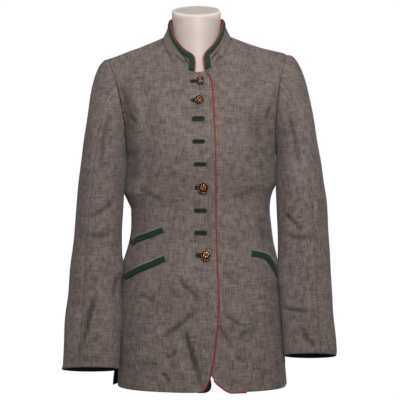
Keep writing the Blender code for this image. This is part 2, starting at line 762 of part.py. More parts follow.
def sleeve_normals(angle, w, side):
    """The direction out of the sleeve, which turns to the body's at the top of the armhole."""
    step = 1e-3
    across = sleeve(angle + step, w, side) - sleeve(angle - step, w, side)
    up = sleeve(angle, np.clip(w, 0, 2 - step) + step, side)
    up = up - sleeve(angle, np.clip(w, step, 2) - step, side)
    n = np.cross(across, up) * (1 if side == "right" else -1)
    n = n / np.linalg.norm(n, axis=-1, keepdims=True)
    share = ease((w - 1.8) / 0.2) * ease((np.cos(angle) - 0.2) / 0.5)
    s = np.full_like(angle, 0.9995 * (-1 if side == "right" else 1))
    ahead = (angle <= math.pi)[..., None]
    v = 1 + np.abs(1 - angle / math.pi)
    body_n = np.where(ahead, normals(s, v, True), normals(s, v, False))
    n = n * (1 - share)[..., None] + body_n * share[..., None]
    return n / np.linalg.norm(n, axis=-1, keepdims=True)


def sleeve_piece(name, side, start, end):
    """A stretch of the sleeve, between two seams that run down it."""
    f = np.linspace(0, 1, end - start + 1)
    start = start * 2 * math.pi / SLEEVE_STEPS
    end = end * 2 * math.pi / SLEEVE_STEPS
    w = np.concatenate([np.linspace(0, 1, TUBE_ROWS + 1), np.linspace(1, 2, CAP_ROWS + 1)[1:]])
    w, f = np.meshgrid(w, f, indexing="ij")
    gap = SLEEVE_SEAM_GAP / (0.06 + 0.02 * w)
    angle = (start + gap + (end - start - 2 * gap) * f) % (2 * math.pi)
    outer = sleeve(angle, w, side)
    away = sleeve_normals(angle, w, side)
    return wall_piece(name, outer, away, "linen", WALL, flip=side == "left")


def make_sleeves():
    first, second = SLEEVE_SEAMS
    for side in ("right", "left"):
        sleeve_piece(f"sleeve_{side}_under", side, first, second)
        sleeve_piece(f"sleeve_{side}_upper", side, second, first + SLEEVE_STEPS)


def collar_angle(a):
    """The turn round the neck at a share of the collar's length, 0 and 1 at its front
    ends, a quarter turn at each side and 0 at the back."""
    return COLLAR_TURN - math.pi + COLLAR_GAP_ANGLE + 2 * (math.pi - COLLAR_GAP_ANGLE) * a


def neck_seam(turn):
    """The point of the body's cloth on the neck hole at a turn, 0 at the back."""
    x = NECK_CENTRE[0] + NECK_HALF[0] * np.sin(turn)
    y = NECK_CENTRE[1] + NECK_HALF[1] * np.cos(turn)
    front = np.cos(turn) < 0
    best = []
    for side in (True, False):
        v = np.full(np.shape(turn), 1.8)
        for _ in range(14):
            s = s_of_x(x, v, side)
            step = 1e-3
            here = smooth_cloth(s, v, side)[..., 1]
            there = smooth_cloth(s, v - step, side)[..., 1]
            v = np.clip(v + (y - here) / ((here - there) / step + 1e-9) * 0.7, 1.2, 2)
        best.append(smooth_cloth(s_of_x(x, v, side), v, side))
    return np.where(front[..., None], best[0], best[1])


SEAM_TURNS = np.linspace(-1.1 * math.pi, 1.1 * math.pi, 80)
SEAM_HEIGHTS = neck_seam(SEAM_TURNS)[..., 2]


def collar(a, h, lift=0.0):
    """A point of the stand collar's outer face: a is the share of its length, h the height
    above the neck seam and lift how far it is moved out."""
    a, h = np.broadcast_arrays(np.asarray(a, float), np.asarray(h, float))
    turn = collar_angle(a)
    low_x = NECK_CENTRE[0] + (NECK_HALF[0] - 0.0006) * np.sin(turn)
    low_y = NECK_CENTRE[1] + (NECK_HALF[1] - 0.0006) * np.cos(turn)
    low_z = np.interp(turn, SEAM_TURNS, SEAM_HEIGHTS) + COLLAR_SEAM_GAP
    forward = np.clip(-np.cos(turn), 0, 1)
    ahead = np.arcsin(forward) / (math.pi / 2)
    top_x = COLLAR_TOP_CENTRE[0] + COLLAR_TOP_HALF[0] * np.sin(turn)
    top_y = COLLAR_TOP_CENTRE[1] + COLLAR_TOP_HALF[1] * np.cos(turn)
    top_z = COLLAR_TOP_SIDE - COLLAR_TOP_FRONT_DROP * ahead
    top_z = top_z + COLLAR_TOP_BACK_RISE * np.clip(np.cos(turn), 0, 1)
    low = np.stack([low_x, low_y, low_z], axis=-1)
    top = np.stack([top_x, top_y, top_z], axis=-1)
    rise = (top - low) / np.linalg.norm(top - low, axis=-1, keepdims=True)
    around = np.stack([np.cos(turn), -np.sin(turn), 0 * turn], axis=-1)
    out = np.cross(rise, around)
    out = out / np.linalg.norm(out, axis=-1, keepdims=True)
    bow = COLLAR_BOW * np.sin(np.clip(h / COLLAR_HEIGHT, 0, 1) * math.pi)
    return low + rise * h[..., None] + out * (lift - bow)[..., None]


def collar_out(a, h):
    """The direction out of the collar."""
    p = collar(a, h, 0.001) - collar(a, h, 0.0)
    return p / np.linalg.norm(p, axis=-1, keepdims=True)


def collar_outline(inset):
    """The collar's outline from one front end over the top to the other, as (a, h), moved
    in from its edge."""
    corner = max(COLLAR_CORNER - inset, 0.003)
    height = COLLAR_HEIGHT - inset
    start = inset / COLLAR_LENGTH
    path = [(start, 0.0), (start, (height - corner) * 0.5), (start, height - corner)]
    for k in range(1, 6):
        turn = k / 5 * math.pi / 2
        a = inset + corner * (1 - math.cos(turn))
        path.append((a / COLLAR_LENGTH, height - corner + corner * math.sin(turn)))
    side = inset + corner
    for k in range(1, 12):
        path.append(((side + (COLLAR_LENGTH / 2 - side) * k / 12) / COLLAR_LENGTH, height))
    path.append((0.5, height))
    path += [(1 - a, h) for a, h in path[-2::-1]]
    return np.array(path)


def make_collar():
    """The collar's own wall, the green band along its edge and the red piping."""
    outline = collar_outline(0.0)
    bottom = outline * [1, 0]
    share = np.linspace(0, 1, 4)[:, None, None]
    grid = (bottom + (outline - bottom) * share)[:, 2:-2]
    outer = collar(grid[..., 0], grid[..., 1])
    away = collar_out(grid[..., 0], grid[..., 1])
    wall_piece("collar", outer, away, "linen", COLLAR_WALL, flip=True)

    edge = collar_outline(0.0006)
    inner = collar_outline(BAND_WIDTH)
    share = np.linspace(0, 1, 3)[:, None, None]
    grid = (edge + (inner - edge) * share)[::-1]
    grid[..., 1] = np.maximum(grid[..., 1], BAND_FOOT)
    lift = BAND_WALL + BAND_GAP
    outer = collar(grid[..., 0], grid[..., 1], lift)
    away = collar_out(grid[..., 0], grid[..., 1])
    wall_piece("collar_band", outer, away, "green", BAND_WALL, flip=True)

    outline[:, 1] = np.maximum(outline[:, 1], PIPING_RADIUS)
    path = collar(outline[:, 0], outline[:, 1])
    away = collar_out(outline[:, 0], outline[:, 1])
    tube("collar_piping", beside(path, away, 1) - away * COLLAR_WALL / 2, PIPING_RADIUS, "red")


def beside(path, away, way):
    """A path moved off the edge that it follows, far enough for a piping to lie there."""
    side = np.cross(np.gradient(path, axis=0), away)
    side = side / np.linalg.norm(side, axis=-1, keepdims=True)
    return path + side * (PIPING_RADIUS + PIPING_GAP) * way


def tube(name, points, radius, material, sides=2):
    """A round cord along a path, as a curve with a bevel."""
    curve = bpy.data.curves.new(name, "CURVE")
    curve.dimensions = "3D"
    curve.bevel_depth = radius
    curve.bevel_resolution = sides - 1
    curve.use_fill_caps = True
    line = curve.splines.new("POLY")
    line.points.add(len(points) - 1)
    for knot, place in zip(line.points, points):
        knot.co = (*place, 1)
    thing = bpy.data.objects.new(name, curve)
    curve.materials.append(MATERIALS[material])
    PARTS.objects.link(thing)
    return thing


def edge_piping(name, edge, low_z, high_z, lift_of, sign, hem_end=None):
    """The red piping just outside a front's edge, and under its hem as far as hem_end."""
    v, s = edge_curve(edge)
    p = smooth_cloth(s, v)
    use = (p[..., 2] >= low_z) & (p[..., 2] <= high_z)
    v, s = v[use], s[use]
    if hem_end is not None:
        along = np.linspace(hem_end, edge["x"][0], HEM_PIPING_POINTS)
        level = np.zeros(HEM_PIPING_POINTS)
        s = np.concatenate([s_of_x(along, level), s])
        v = np.concatenate([level, v])
    lift = lift_of(smooth_cloth(s, v)[..., 0]) - PIPING_SINK
    path = on_panel(s, v, lift)
    tube(name, beside(path, normals(s, v, True), sign), PIPING_RADIUS, "red")


def strip(name, line, gap, half, wall, material, shift=0.0):
    """A flat band laid on the front along the line of a pocket."""
    steps = np.hypot(np.diff(line["x"]), np.diff(line["height"]))
    run = np.concatenate([[0], np.cumsum(steps)])
    at = np.linspace(0, run[-1], WELT_POINTS)
    x = smooth(at, run, line["x"])
    z = smooth(at, run, line["height"])
    along = np.stack([np.gradient(x), np.gradient(z)], axis=-1)
    along = along / np.linalg.norm(along, axis=-1, keepdims=True)
    across = np.stack([-along[:, 1], along[:, 0]], axis=-1)
    across = across * np.where(across[:, 1:] < 0, -1, 1)
    rows = np.array([-half, 0.0, half]) + shift
    grid_x = x + across[:, 0] * rows[:, None]
    grid_z = z + across[:, 1] * rows[:, None]
    s, v = front_place(grid_x, grid_z)
    outer = on_panel(s, v, wall + gap)
    away = normals(s, v, True)
    if x[-1] < x[0]:
        outer, away = outer[:, ::-1], away[:, ::-1]
    return wall_piece(name, outer, away, material, wall)


def make_welts():
    for name, line in WELTS.items():
        gap = WELT_GAP[name]
        strip(f"welt_{name}", line, gap, WELT_HALF, WELT_WALL, "green")
        shift = WELT_HALF + LIP_HALF + SEAM_GAP
        strip(f"welt_lip_{name}", line, gap, LIP_HALF, LIP_WALL, "grey_lip", shift)


def make_buttonholes():
    half_x, half_z = BUTTONHOLE_HALF
    for number, (x, z, button_x, radius) in enumerate(zip(*BUTTONHOLES.values()), 1):
        across = np.linspace(-half_x, half_x, 4)
        rows = np.array([-half_z, -half_z * 0.8, -SLIT_HALF, 0.0, SLIT_HALF, half_z * 0.8, half_z])
        rise = np.array([0.35, 1.0, 1.0, 0.2, 1.0, 1.0, 0.35]) * BUTTONHOLE_LIP
        grid_x, grid_z = np.meshgrid(x + across, z + rows)
        s, v = front_place(grid_x, grid_z)
        lift = SEAM_GAP + BUTTONHOLE_WALL + rise[:, None] + overlap_lift(grid_x)
        outer = on_panel(s, v, lift)
        away = normals(s, v, True)
        wall_piece(f"buttonhole_{number}", outer, away, "green", BUTTONHOLE_WALL)
        if radius:
            make_button(f"button_{number}", button_x, z, radius)


def make_button(name, x, z, radius):
    """A domed metal button with a rim and a shank, turned about its own axis."""
    s, v = front_place(x, z)
    base = on_panel(s, v, overlap_lift(np.array(x)) + BUTTONHOLE_LIP + BUTTONHOLE_WALL)
    away = normals(s, v, True)
    low = SEAM_GAP * 2
    foot = low + SHANK_LENGTH
    profile = (
        (0.0, foot + BUTTON_HEIGHT * 0.62),
        (radius * 0.30, foot + BUTTON_HEIGHT * 0.58),
        (radius * 0.62, foot + BUTTON_HEIGHT * 0.42),
        (radius * 0.78, foot + BUTTON_HEIGHT * 0.30),
        (radius * 0.88, foot + BUTTON_HEIGHT * 0.46),
        (radius, foot + BUTTON_HEIGHT * 0.34),
        (radius * 0.97, foot + BUTTON_HEIGHT * 0.10),
        (radius * 0.80, foot),
        (SHANK_RADIUS, foot),
        (SHANK_RADIUS, low),
        (0.0, low),
    )
    mesh = bpy.data.meshes.new(name)
    edges = [(k, k + 1) for k in range(len(profile) - 1)]
    mesh.from_pydata([(r, 0, h) for r, h in profile], edges, [])
    thing = add_object(name, mesh, "brass")
    turn = thing.modifiers.new("turn", "SCREW")
    turn.steps = 16
    turn.render_steps = 16
    turn.use_merge_vertices = True
    turn.merge_threshold = 0.00001
    thing.location = [float(c) for c in base]
    thing.rotation_euler = Vector([float(c) for c in away]).to_track_quat("Z", "Y").to_euler()


def form_ring(z):
    """A level of the form below the armpit, in the order that every level has."""
    half = float(smooth(z, FORM["height"], FORM["half_width"]))
    ahead = float(smooth(z, FORM["height"], FORM["front"]))
    behind = float(smooth(z, FORM["height"], FORM["back"]))
    points = []
    for side in FORM_ORDER:
        s, front = side
        angle = s * math.pi / 2
        depth = ahead if front else behind
        across, deep = math.sin(angle), math.cos(angle)
        size = (abs(across / half) ** FORM_SQUARE + abs(deep / depth) ** FORM_SQUARE)
        size = size ** (-1 / FORM_SQUARE)
        points.append((size * across, (-1 if front else 1) * size * deep, z))
    return np.array(points)


FORM_SHARES = np.linspace(-FORM_SPAN, FORM_SPAN, 11)
FORM_ORDER = (
    [(s, True) for s in FORM_SHARES]
    + [(1.0, True)]
    + [(s, False) for s in FORM_SHARES[::-1]]
    + [(-1.0, True)]
)


def form_level(v):
    """A level of the form above the armpit, a little inside the cloth."""
    points = []
    level = np.full(len(FORM_SHARES), v)
    over_neck = 1 - ease((np.abs(FORM_SHARES) - 0.36) / 0.2)
    clear = WALL + float(np.interp(v, *zip(*FORM_CLEAR_ROWS))) + FORM_NECK_CLEAR * over_neck
    front = cloth(FORM_SHARES, level, True, -clear)
    back = cloth(FORM_SHARES[::-1], level, False, -clear - FORM_BACK_CLEAR)
    for end in (1, -1):
        rim = front if end > 0 else back
        nose = front[-1] if end > 0 else front[0]
        tail = back[0] if end > 0 else back[-1]
        middle = (nose + tail) / 2
        bulge = min(1.0, float(np.linalg.norm(nose - tail)) / 0.05)
        middle = middle + np.array([end * FORM_SIDE_BULGE * bulge, 0, 0])
        points += [*rim, middle]
    return np.array(points)


def make_form():
    """The dress form: a torso with closed arm ends and a neck with a slanted cap."""
    heights = FORM["height"]
    rings = [form_ring(z) for z in np.linspace(heights[0], heights[-1], 11)]
    rings += [form_level(1 + (1 - SHOULDER_GAP) * k / UPPER_ROWS) for k in FORM_LEVEL_ROWS]
    count = len(FORM_ORDER)
    half = len(FORM_SHARES)
    faces = [tuple(range(count))[::-1]]
    faces += grid_faces(len(rings), count, wrap=True)
    last = (len(rings) - 1) * count
    for k in range(half - 1):
        a, b = last + k, last + k + 1
        c, d = last + 2 * half - k - 1, last + 2 * half - k
        faces.append((a, b, c, d))
    faces.append((last + half - 1, last + half, last + half + 1))
    faces.append((last + 2 * half, last + 2 * half + 1, last))
    points = np.concatenate(rings)
    torso = add_object("form", mesh_of("form", points, faces), "cream")

    neck_points = []
    sides = 28
    turns = np.linspace(0, 2 * math.pi, sides, endpoint=False)
    for z, half_x, half_y in FORM_NECK_RINGS:
        x = FORM_NECK_CENTRE[0] + half_x * np.cos(turns)
        y = FORM_NECK_CENTRE[1] + half_y * np.sin(turns)
        neck_points.append(np.stack([x, y, z + 0 * x], axis=-1))
    middle = (FORM_NECK_FRONT + FORM_NECK_BACK) / 2
    slope = (FORM_NECK_BACK - FORM_NECK_FRONT) / 2
    for inset, rise in ((0.0, -0.003), (0.0010, -0.001), (0.0035, 0.0)):
        _, half_x, half_y = FORM_NECK_RINGS[-1]
        x = FORM_NECK_CENTRE[0] + (half_x - inset) * np.cos(turns)
        y = FORM_NECK_CENTRE[1] + (half_y - inset) * np.sin(turns)
        z = middle + slope * np.sin(turns) * (half_y - inset) / half_y + rise
        neck_points.append(np.stack([x, y, z], axis=-1))
    faces = [tuple(range(sides))[::-1]]
    faces += grid_faces(len(neck_points), sides, wrap=True)
    top = (len(neck_points) - 1) * sides
    faces.append(tuple(top + k for k in range(sides)))
    mesh = mesh_of("neck", np.concatenate(neck_points), faces)
    neck = add_object("form_neck_cutter", mesh, "cream", CUTTERS)
    neck.hide_render = True
    neck.display_type = "WIRE"
    join = torso.modifiers.new("neck", "BOOLEAN")
    join.operation = "UNION"
    join.object = neck


def main():
    front_panel("front_right", -1, RIGHT_EDGE, overlap_lift)
    front_panel("front_left", 1, LEFT_EDGE, lambda x: 0 * x)
    back_panel()
    make_sleeves()
    make_collar()
    edge_piping("piping_right", RIGHT_EDGE, HEM + 0.0018, 0.657, overlap_lift, 1)
    edge_piping(
        "piping_left", LEFT_EDGE, HEM + 0.0018, LEFT_PIPING_TOP, lambda x: 0 * x, -1, HEM_PIPING_END
    )
    make_welts()
    make_buttonholes()
    make_form()


main()
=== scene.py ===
"""The looks of a blazer on its dress form: cloth with creases, trim and buttons.

Metres, +Z up. The front faces -Y and the wearer's right side is at -X.
"""

import math

import bpy
import numpy as np
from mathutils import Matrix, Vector


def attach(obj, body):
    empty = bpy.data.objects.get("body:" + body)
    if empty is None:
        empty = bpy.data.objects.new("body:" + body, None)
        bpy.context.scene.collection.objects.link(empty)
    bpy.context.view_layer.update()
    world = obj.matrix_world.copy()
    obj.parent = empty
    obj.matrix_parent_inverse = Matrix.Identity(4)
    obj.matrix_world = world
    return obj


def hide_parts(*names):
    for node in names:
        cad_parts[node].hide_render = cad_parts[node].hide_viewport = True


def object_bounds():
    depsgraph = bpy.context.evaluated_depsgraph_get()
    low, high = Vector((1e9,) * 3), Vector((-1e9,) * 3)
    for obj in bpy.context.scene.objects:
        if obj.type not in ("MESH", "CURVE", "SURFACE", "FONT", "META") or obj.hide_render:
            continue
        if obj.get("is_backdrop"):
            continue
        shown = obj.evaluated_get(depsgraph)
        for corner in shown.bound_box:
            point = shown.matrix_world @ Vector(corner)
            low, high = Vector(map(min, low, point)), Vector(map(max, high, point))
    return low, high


# Cloth
WALL = 0.0018
SEAM_GAP = 0.0003
SLEEVE_SEAM_GAP = 0.0002
ARMHOLE_GAP = 0.0003
ARMPIT_GAP = 0.0002
OVERLAP_LIFT = 0.0024
OVERLAP_START = -0.075
OVERLAP_FULL = -0.035

# Heights
HEM = 0.008
ARMPIT = 0.490
VENT_TOP = 0.192
VENT_GAP = 0.006
FLARE = 0.012
FLARE_TOP = 0.10
FLARE_LEFT_SHARE = 0.2

# Lengths of cloth that turn a gap in metres into a share of a panel: from the middle of
# the front or the back to a side seam, and from the armpit up to the shoulder.
FRONT_HALF_LENGTH = 0.22
BACK_HALF_LENGTH = 0.20
SWEEP_LENGTH = 0.30
SHOULDER_GAP = SEAM_GAP / SWEEP_LENGTH
CORNER_HEIGHT = 0.010
CORNER_CUT = 0.010
VENT_RAMP = 0.030
# The large folds fade from this share of the half ring on, over this width.
QUIET_FROM = 0.76
QUIET_WIDTH = 0.16
# From this level up the front and the back turn to one shared direction.
SHARED_FROM = 1.88
# The neckline is looked for from this level up.
NECKLINE_FROM = 1.2

# Heights that the fine rows below the armpit keep among them.
ROW_HEIGHTS = (
    0.008, 0.0105, 0.018, 0.032, 0.060, 0.100, 0.145, 0.190, 0.230, 0.265,
    0.300, 0.335, 0.360, 0.378, 0.396, 0.412, 0.434, 0.460, 0.490,
)
# The body below the armpit: reach to each side, to the front and to the back,
# and how square the ring is on the left front, the right front and the back.
BODY_COLUMNS = ("height", "left", "right", "front", "back", "square_l", "square_r", "square_b")
BODY_ROWS = (
    (0.008, 0.1720, 0.1800, 0.128, 0.128, 2.20, 2.30, 2.3),
    (0.060, 0.1725, 0.1775, 0.128, 0.127, 2.20, 2.30, 2.3),
    (0.120, 0.1715, 0.1745, 0.128, 0.125, 2.20, 2.35, 2.3),
    (0.200, 0.1690, 0.1660, 0.126, 0.120, 2.25, 2.40, 2.3),
    (0.260, 0.1620, 0.1630, 0.122, 0.110, 2.30, 2.45, 2.2),
    (0.304, 0.1500, 0.1550, 0.117, 0.098, 2.30, 2.50, 2.2),
    (0.340, 0.1445, 0.1490, 0.114, 0.090, 2.25, 2.50, 2.2),
    (0.375, 0.1440, 0.1465, 0.113, 0.088, 2.20, 2.40, 2.2),
    (0.396, 0.1525, 0.1480, 0.116, 0.092, 2.20, 2.30, 2.2),
    (0.412, 0.1590, 0.1520, 0.119, 0.096, 2.20, 2.25, 2.2),
    (0.434, 0.1585, 0.1605, 0.122, 0.100, 2.20, 2.20, 2.2),
    (0.460, 0.1570, 0.1600, 0.125, 0.104, 2.20, 2.20, 2.2),
    (0.490, 0.1560, 0.1590, 0.125, 0.106, 2.20, 2.20, 2.2),
)

# The line of the shoulders, seen from the front, carried on over the neck as a low crown.
SHOULDER_COLUMNS = ("x", "y", "height")
SHOULDER_ROWS = (
    (-0.196, 0.002, 0.6915),
    (-0.152, 0.006, 0.7072),
    (-0.110, 0.009, 0.7240),
    (-0.078, 0.010, 0.7378),
    (-0.045, 0.012, 0.7520),
    (-0.005, 0.014, 0.7600),
    (0.035, 0.012, 0.7520),
    (0.065, 0.010, 0.7392),
    (0.107, 0.008, 0.7235),
    (0.146, 0.005, 0.7112),
    (0.185, 0.002, 0.7010),
)

# How the cloth leaves the armpit ring and meets the shoulder line, from the centre (0)
# to the armhole (1): outward, away from the wearer and upward.
SWEEP_COLUMNS = ("share", "start_out", "start_away", "start_up", "end_out", "end_away", "end_up")
FRONT_SWEEP = (
    (0.0, 0.000, 0.020, 0.170, 0.000, -0.180, 0.030),
    (0.5, 0.000, 0.030, 0.200, 0.000, -0.170, 0.030),
    (0.8, -0.015, 0.110, 0.230, 0.020, -0.190, 0.040),
    (1.0, -0.030, 0.200, 0.200, 0.050, -0.200, 0.060),
)
BACK_SWEEP = (
    (0.0, 0.000, 0.020, 0.260, 0.000, -0.220, -0.030),
    (0.5, 0.000, 0.020, 0.260, 0.000, -0.190, -0.030),
    (0.8, -0.015, 0.100, 0.235, 0.020, -0.190, 0.000),
    (1.0, -0.030, 0.185, 0.200, 0.050, -0.200, 0.030),
)

# The round hole for the neck, seen from above.
NECK_CENTRE = (-0.0065, 0.0015)
NECK_HALF = (0.0715, 0.0745)

# Where the two fronts end, seen from the front.
EDGE_COLUMNS = ("height", "x")
RIGHT_EDGE_ROWS = (
    (0.008, -0.0080),
    (0.010, 0.0024),
    (0.018, 0.0105),
    (0.032, 0.0170),
    (0.045, 0.0210),
    (0.072, 0.0265),
    (0.105, 0.0305),
    (0.140, 0.0345),
    (0.180, 0.0372),
    (0.196, 0.0370),
    (0.271, 0.0338),
    (0.323, 0.0320),
    (0.408, 0.0311),
    (0.477, 0.0307),
    (0.559, 0.0280),
    (0.599, 0.0261),
    (0.616, 0.0250),
    (0.630, 0.0236),
    (0.6415, 0.0214),
    (0.6506, 0.0178),
    (0.6560, 0.0120),
    (0.6610, 0.0020),
)
LEFT_EDGE_ROWS = (
    (0.008, 0.0620),
    (0.012, 0.0530),
    (0.018, 0.0450),
    (0.027, 0.0340),
    (0.042, 0.0226),
    (0.072, 0.0040),
    (0.110, -0.0120),
    (0.160, -0.0230),
    (0.220, -0.0270),
    (0.600, -0.0270),
    (0.650, -0.0200),
    (0.668, -0.0100),
)

# Largest folds of the body, from (x, height) to (x, height) on the front or the back:
# half width and how far the cloth stands out.
FOLD_COLUMNS = ("side", "x0", "z0", "x1", "z1", "half_width", "rise")
FOLD_ROWS = (
    ("front", -0.147, 0.620, -0.137, 0.420, 0.018, 0.0040),
    ("front", -0.120, 0.600, -0.118, 0.440, 0.022, -0.0035),
    ("front", 0.132, 0.560, 0.128, 0.520, 0.022, -0.0045),
    ("front", 0.128, 0.350, 0.150, 0.240, 0.020, 0.0035),
    ("front", -0.034, 0.120, 0.000, 0.020, 0.020, -0.0040),
    ("front", -0.060, 0.200, -0.086, 0.090, 0.024, -0.0030),
    ("front", -0.125, 0.260, -0.132, 0.060, 0.028, 0.0035),
    ("front", 0.090, 0.150, 0.070, 0.050, 0.024, 0.0030),
    ("front", 0.050, 0.240, 0.066, 0.190, 0.018, -0.0025),
    ("back", -0.060, 0.480, -0.050, 0.360, 0.024, -0.0040),
    ("back", 0.070, 0.500, 0.052, 0.350, 0.024, -0.0040),
    ("back", -0.080, 0.260, -0.100, 0.050, 0.028, 0.0045),
    ("back", 0.010, 0.300, 0.004, 0.060, 0.026, -0.0040),
    ("back", 0.085, 0.240, 0.112, 0.040, 0.028, 0.0040),
)

# Sleeves: outer and inner reach, centre of the depth and half depth.
SLEEVE_COLUMNS = ("height", "outer", "inner", "middle", "half_depth")
RIGHT_SLEEVE_ROWS = (
    (0.030, 0.2865, 0.1662, -0.0570, 0.0285),
    (0.100, 0.2812, 0.1642, -0.0565, 0.0310),
    (0.159, 0.2770, 0.1618, -0.0530, 0.0350),
    (0.206, 0.2728, 0.1622, -0.0490, 0.0400),
    (0.264, 0.2680, 0.1625, -0.0440, 0.0460),
    (0.325, 0.2630, 0.1610, -0.0370, 0.0530),
    (0.398, 0.2545, 0.1585, -0.0290, 0.0610),
    (0.440, 0.2495, 0.1570, -0.0240, 0.0660),
)
LEFT_SLEEVE_ROWS = (
    (0.060, 0.2828, 0.1740, -0.0570, 0.0285),
    (0.129, 0.2765, 0.1700, -0.0565, 0.0330),
    (0.184, 0.2725, 0.1640, -0.0540, 0.0365),
    (0.218, 0.2710, 0.1618, -0.0510, 0.0400),
    (0.266, 0.2692, 0.1604, -0.0470, 0.0450),
    (0.336, 0.2660, 0.1600, -0.0380, 0.0530),
    (0.396, 0.2634, 0.1600, -0.0300, 0.0610),
    (0.440, 0.2572, 0.1590, -0.0250, 0.0660),
)
SLEEVE_TUBE_TOP = 0.440
CUFF_HEIGHT = {"right": 0.047, "left": 0.075}
CUFF_DROP = 0.008
# The two seams down a sleeve, in steps of a sixteenth of a turn, as the armhole's rows are.
SLEEVE_STEPS = 16
# The share of the half ring at which the armhole lies.
ARMHOLE_SHARE = 0.9995
SLEEVE_SEAMS = (3, 11)
# How the cloth leaves the armhole, at its top and halfway down, and arrives in the tube.
CAP_TOP_OUT = 0.120
CAP_TOP_DOWN = 0.020
CAP_SIDE_OUT = 0.020
CAP_SIDE_AHEAD = 0.030
CAP_LOW_DOWN = 0.9
CAP_ARRIVE_OUT = 0.040
CAP_ARRIVE_DOWN = 1.15

# Stand collar: a strip cut flat, with rounded front corners.
COLLAR_HEIGHT = 0.040
COLLAR_CORNER = 0.012
COLLAR_WALL = 0.0022
COLLAR_TOP_CENTRE = (-0.0070, 0.0070)
COLLAR_TOP_HALF = (0.0560, 0.0600)
COLLAR_TOP_SIDE = 0.775
COLLAR_TOP_FRONT_DROP = 0.0700
COLLAR_TOP_BACK_RISE = 0.0090
COLLAR_GAP_ANGLE = math.radians(9.4)
COLLAR_TURN = math.radians(-5.3)
COLLAR_LENGTH = 0.400
COLLAR_SEAM_GAP = -0.0002
COLLAR_BOW = 0.0012
# How far the collar's foot stands inside the neck hole.
COLLAR_INSET = 0.0006
CORNER_STEPS = 24
TOP_STEPS = 60
BAND_FOOT = 0.0012
BAND_GAP = 0.0006
BAND_WIDTH = 0.0115
BAND_WALL = 0.0010
PIPING_RADIUS = 0.0014
PIPING_GAP = -0.0004
PIPING_SINK = 0.0004
LEFT_PIPING_TOP = 0.034
HEM_PIPING_END = 0.095

# Bound buttonholes, down the middle of the front: x and height of each centre.
BUTTONHOLE_COLUMNS = ("x", "height", "button_x", "button_radius")
BUTTONHOLE_ROWS = (
    (-0.0070, 0.6376, 0.0006, 0.0085),
    (-0.0050, 0.5980, -0.0019, 0.0085),
    (-0.0034, 0.5600, 0.0, 0.0),
    (-0.0022, 0.5133, 0.0, 0.0),
    (0.0004, 0.4677, 0.0, 0.0),
    (0.0020, 0.4218, 0.0062, 0.0110),
    (0.0006, 0.3749, 0.0, 0.0),
    (0.0014, 0.3294, 0.0, 0.0),
    (0.0040, 0.2843, 0.0120, 0.0110),
)
BUTTONHOLE_HALF = (0.0130, 0.0045)
SLIM_BUTTONHOLES = (1, 2)
SLIM_SHARE = 0.72
BUTTONHOLE_LIP = 0.0009
BUTTONHOLE_WALL = 0.0006
BUTTON_HEIGHT = 0.0060
SHANK_RADIUS = 0.0018
SHANK_LENGTH = 0.0022
BUTTON_SIDES = 96
PETALS = 6
ROPE_STRANDS = 22

# Welts of the pockets: the middle line of each green band, seen from the front.
WELT_COLUMNS = ("x", "height")
WELT_ROWS = {
    "upper_right": (
        (-0.0747, 0.3351),
        (-0.0991, 0.3254),
        (-0.1262, 0.3157),
        (-0.1412, 0.3065),
    ),
    "lower_right": (
        (-0.0712, 0.2774),
        (-0.0991, 0.2646),
        (-0.1262, 0.2520),
        (-0.1470, 0.2415),
        (-0.1550, 0.2360),
    ),
    "left": (
        (0.1042, 0.2872),
        (0.1202, 0.2837),
        (0.1345, 0.2775),
        (0.1440, 0.2650),
        (0.1530, 0.2500),
        (0.1580, 0.2400),
    ),
}
WELT_HALF = 0.0058
WELT_WALL = 0.0014
LIP_HALF = 0.0013
LIP_WALL = 0.0010

# The neck of the dress form, with a slanted cap: height and the two half widths.
FORM_NECK_CENTRE = (-0.0075, 0.007)
FORM_NECK_RINGS = (
    (0.640, 0.0600, 0.0560),
    (0.690, 0.0545, 0.0530),
    (0.725, 0.0522, 0.0512),
    (0.750, 0.0516, 0.0506),
)
FORM_NECK_FRONT = 0.779
FORM_NECK_BACK = 0.812
NECK_ROUNDING = 0.0035
NECK_SIDES = 128


def table(columns, rows):
    """Each column of a table as an array."""
    return {name: np.array([row[k] for row in rows]) for k, name in enumerate(columns)}


def unit(vectors):
    return vectors / np.linalg.norm(vectors, axis=-1, keepdims=True)


def hermite(t, start, end, leave, arrive):
    """A curve from start to end that leaves and arrives with the given speeds."""
    first = (1 + 2 * t) * (1 - t) ** 2 * start + t * (1 - t) ** 2 * leave
    return first + t * t * (3 - 2 * t) * end + t * t * (t - 1) * arrive


def halve(low, high, below, steps=32):
    """Closes in on the place between low and high up to which below is true."""
    for _ in range(steps):
        middle = (low + high) / 2
        under = below(middle)
        low = np.where(under, middle, low)
        high = np.where(under, high, middle)
    return low, high


def smooth(x, xs, ys):
    """A smooth curve through a table, with slopes limited so that it never overshoots."""
    x = np.clip(np.asarray(x, float), xs[0], xs[-1])
    steps = np.diff(xs)
    slopes = np.diff(ys) / steps
    inner = slopes[:-1] * slopes[1:]
    mean = 2 * inner / np.where(inner > 0, slopes[:-1] + slopes[1:], 1)
    tangents = np.concatenate([[slopes[0]], np.where(inner > 0, mean, 0), [slopes[-1]]])
    i = np.clip(np.searchsorted(xs, x, side="right") - 1, 0, len(xs) - 2)
    t = (x - xs[i]) / steps[i]
    return hermite(t, ys[i], ys[i + 1], steps[i] * tangents[i], steps[i] * tangents[i + 1])


def ease(x):
    """0 below 0, 1 above 1, and a soft step between."""
    x = np.clip(x, 0, 1)
    return x * x * (3 - 2 * x)


